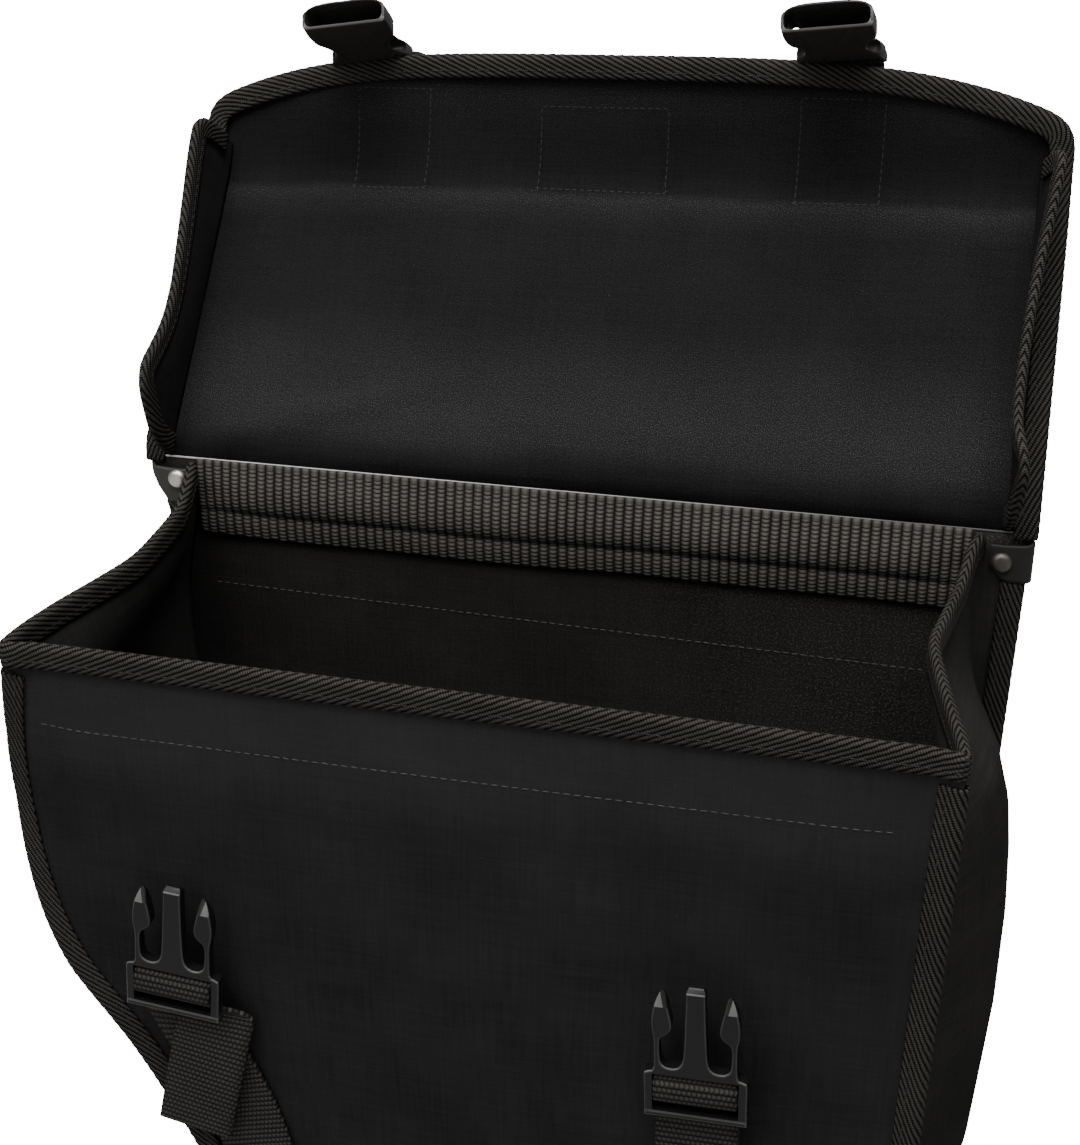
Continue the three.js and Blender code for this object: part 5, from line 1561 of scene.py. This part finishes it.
def front_strap(bag, strap):
    at, across, along = plug_place(bag, strap)
    depth = np.cross(along, across)
    swing = strap["swing"] if bag["open"] else 0
    skew = LOOP_SKEW * swing
    loop = np.array([at + depth * d + along * u + across * k for (d, u), k in zip(LOOP_ROUTE, skew)])
    start = np.array([strap["anchor"], ANCHOR_HEIGHT])
    arrive = loop[0][[0, 2]]
    t = np.linspace(0, 1, 9)[:-1, None]
    flat = start * (1 - t) + arrive * t
    flat[:, 0] += strap["bow"] * bag["open"] * np.sin(np.pi * t[:, 0] ** 1.5)
    lie = strap_plane(bag, flat[:, 0], flat[:, 1])
    lie = lie + smooth_between(t[:, 0], 0.55, 1) * (np.minimum(loop[0][1], lie) - lie)
    up = np.stack([flat[:, 0], lie, flat[:, 1]], 1)
    hang = np.linspace(0.15, 1, 7)
    aside = TAIL_ASIDE * swing * hang
    tail = loop[-1] + np.stack([aside, -0.6 * np.sin(np.pi * hang), -TAIL_LENGTH * hang], 1)
    path = through(np.vstack([up, loop, tail]), PATH_STEP)
    lean = math.atan2(arrive[0] - start[0], arrive[1] - start[1])
    low = np.array([math.cos(lean), 0, -math.sin(lean)])
    run = lengths(path)
    near = np.linalg.norm(path - loop[0], axis=1).argmin()
    share = smooth_between(run, run[near] - 25, run[near] + 6)[:, None]
    turn = unit(low * (1 - share) + np.asarray(across) * share)
    hanging = smooth_between(run, run[-1] - TAIL_LENGTH, run[-1] - TAIL_LENGTH * 0.6)[:, None]
    turn = unit(turn - hanging * np.array([0, 0, swing / TAIL_TURN]))
    ribbon(f"{bag['name']}_front_strap_{strap['end']}", bag, path, turn)
    return run[-1]


for bag in BAGS:
    for strap in STRAPS:
        print(bag["name"], strap["end"], "straps:", round(lid_strap(bag, strap)), "mm and",
              round(front_strap(bag, strap)), "mm")

# %% [markdown]
# ## Bridge
# A stiff canvas saddle joins the two backs and lies over the rack. It could be a block with rounded edges,
# but it is cloth that bends one way only. So half of its profile is drawn and mirrored, and the same profile
# carries the tape on its two free edges.

# %% Bridge
BRIDGE_PROFILE = [(66.9, -30), (66.9, -14), (66.6, -5), (64.2, 0.6), (57, 2.8), (40, 3), (0, 3)]
BRIDGE_THICK, BRIDGE_HALF_X, BRIDGE_COLUMNS = 3.0, 168.0, 40


def bridge():
    half = through([(-s, r) for s, r in BRIDGE_PROFILE], 1.5)
    profile = np.vstack([half, (half * (-1, 1))[-2::-1]])
    across = np.linspace(-BRIDGE_HALF_X, BRIDGE_HALF_X, BRIDGE_COLUMNS)
    points = spread(across, profile[:, :1], HEIGHT + profile[:, 1:])
    pattern = spread(across, lengths(profile)[:, None])
    obj = cloth("bridge_panel", BRIDGE, points, pattern, CANVAS, "canvas", BRIDGE_THICK)
    fine = resample(profile, FINE)
    way = heading(fine)
    for end, sign in ENDS:
        tips = spread(sign * BRIDGE_HALF_X, fine[:, 0], HEIGHT + fine[:, 1])
        side = spread(0.0, -way[:, 1], way[:, 0])
        out = np.broadcast_to((float(sign), 0.0, 0.0), tips.shape)
        tape("bridge_binding_" + end, BRIDGE, tips, out, side, BRIDGE_THICK)
    return lengths(profile)[-1]


print("bridge:", round(bridge()), "mm over the rack")

# %% [markdown]
# ## Stitches
# A sewing machine leaves a row of short raised threads. They could be a dashed line in the finish, but
# raised threads catch the light. One thread is a small stretched sphere; copies of it are laid along every
# seam line, each a little out of true, and joined into one piece for each kind of thread on each bag.

# %% One stitch
STITCH_SEED, STITCH_SKEW, STITCH_FLAT = 7, 0.06, 0.8


def stitch_blank():
    """One stitch: a sphere stretched along x."""
    obj = blank("stitch", bpy.ops.mesh.primitive_uv_sphere_add, segments=6, ring_count=5, radius=0.5)
    bpy.ops.object.mode_set(mode="EDIT")
    bpy.ops.mesh.select_all(action="SELECT")
    bpy.ops.transform.rotate(value=math.pi / 2, orient_axis="Y", center_override=(0, 0, 0))
    bpy.ops.object.mode_set(mode="OBJECT")
    points = np.array([v.co for v in obj.data.vertices])
    faces = [list(face.vertices) for face in obj.data.polygons]
    bpy.data.objects.remove(obj)
    return points, faces


STITCH_POINTS, STITCH_FACES = stitch_blank()
print("faces of a stitch:", len(STITCH_FACES))

# %% Rows of stitches
THREAD_LIFT = 0.1
HEM_DROP, HEM_FROM, HEM_TO = 36.5, -170, 156
INNER_DROP, INNER_HALF, INNER_SLANT = 54.0, 163, 3.5
BOX_HALF, BOX_LOW, BOX_HIGH = 13, 25, 45
FINE_THREAD = {"pitch": 3.4, "length": 2.5, "thick": 0.5}
SEAM_THREAD = {"pitch": 3.6, "length": 2.6, "thick": 0.5}


def stitches(name, bag, rows, material, pitch=3.9, length=2.9, thick=0.62):
    """Threads along rows of (points, normals) as one piece."""
    rng = np.random.default_rng(STITCH_SEED)
    points, faces = [], []
    for line, normal in rows:
        both = resample(np.hstack([line, np.broadcast_to(normal, line.shape)]), pitch)
        at, off = both[:, :3], unit(both[:, 3:])
        way = heading(at)
        skew = rng.normal(0, STITCH_SKEW, len(at))[:, None]
        way = unit(way + unit(np.cross(off, way)) * skew)
        across = unit(np.cross(off, way))
        long = length * rng.uniform(0.9, 1.06, len(at))
        for a, w, c, o, size in zip(at, way, across, off, long):
            base = len(points) * len(STITCH_POINTS)
            local = STITCH_POINTS * (size, thick, thick * STITCH_FLAT)
            points.append(a + local[:, :1] * w + local[:, 1:2] * c + local[:, 2:] * o)
            faces.extend([[i + base for i in face] for face in STITCH_FACES])
    mesh = bpy.data.meshes.new(name)
    mesh.from_pydata(to_row(np.vstack(points), bag).tolist(), [], faces)
    if bag["side"] < 0:
        mesh.flip_normals()
    mesh.shade_smooth()
    dress(linked(name, mesh), material, "binding")
    print(name, len(points), "stitches")


def lid_row(bag, corners):
    """A stitch line inside the lid through flat (x, run) corners."""
    x, run = resample(np.array(corners, float), 1.5).T
    off = lid_frame(bag, run, x)[1]
    return lid_point(bag, x, run, lid_ripple(bag, x, run)) + off * (CLOTH / 2 + THREAD_LIFT), off


def lid_box(x0, x1, low, high, skew=0.0):
    """Corners of a box sewn over the lid's crease."""
    low, high = LID_CREASE + low, LID_CREASE + high
    return [(x0, low), (x1, low), (x1 + skew, high), (x0 + skew, high), (x0, low)]


def tape_rows(bag):
    return [(line, normal) for owner, line, normal in SEAM_ROWS if owner is bag]


def anchor_row(bag, x0):
    """The box and its diagonal that hold a front strap at the bottom."""
    left, right = x0 - BOX_HALF, x0 + BOX_HALF
    turns = [(left, BOX_LOW), (right, BOX_LOW), (right, BOX_HIGH), (left, BOX_HIGH), (left, BOX_LOW),
             (right, BOX_HIGH)]
    x, z = resample(np.array(turns, float), 1.5).T
    return np.column_stack([x, strap_plane(bag, x, z) - STRAP / 2 - THREAD_LIFT / 2, z])


def bag_stitches(bag):
    toward = np.array([0.0, -1.0, 0.0])
    hem = front_point(bag, np.linspace(HEM_FROM, HEM_TO, 120), HEIGHT - HEM_DROP, -CLOTH / 2 - THREAD_LIFT)
    x = np.linspace(-INNER_HALF, INNER_HALF, 60)
    inner = spread(x, -CLOTH - THREAD_LIFT, HEIGHT - INNER_DROP - INNER_SLANT * x / INNER_HALF)
    boxes = [lid_box(-118, -84, -12, 34, 2), lid_box(86, 122, -12, 33), lid_box(-30, 28, -10, 27)]
    dark = [lid_row(bag, corners) for corners in boxes]
    dark += [(anchor_row(bag, strap["anchor"]), toward) for strap in STRAPS]
    stitches(bag["name"] + "_hem_thread", bag, [(hem, toward), (inner, toward)], PALE_THREAD)
    stitches(bag["name"] + "_box_thread", bag, dark, THREAD, **FINE_THREAD)
    stitches(bag["name"] + "_tape_thread", bag, tape_rows(bag), THREAD, **SEAM_THREAD)


for bag in BAGS:
    bag_stitches(bag)
stitches("bridge_thread", BRIDGE, tape_rows(BRIDGE), THREAD)
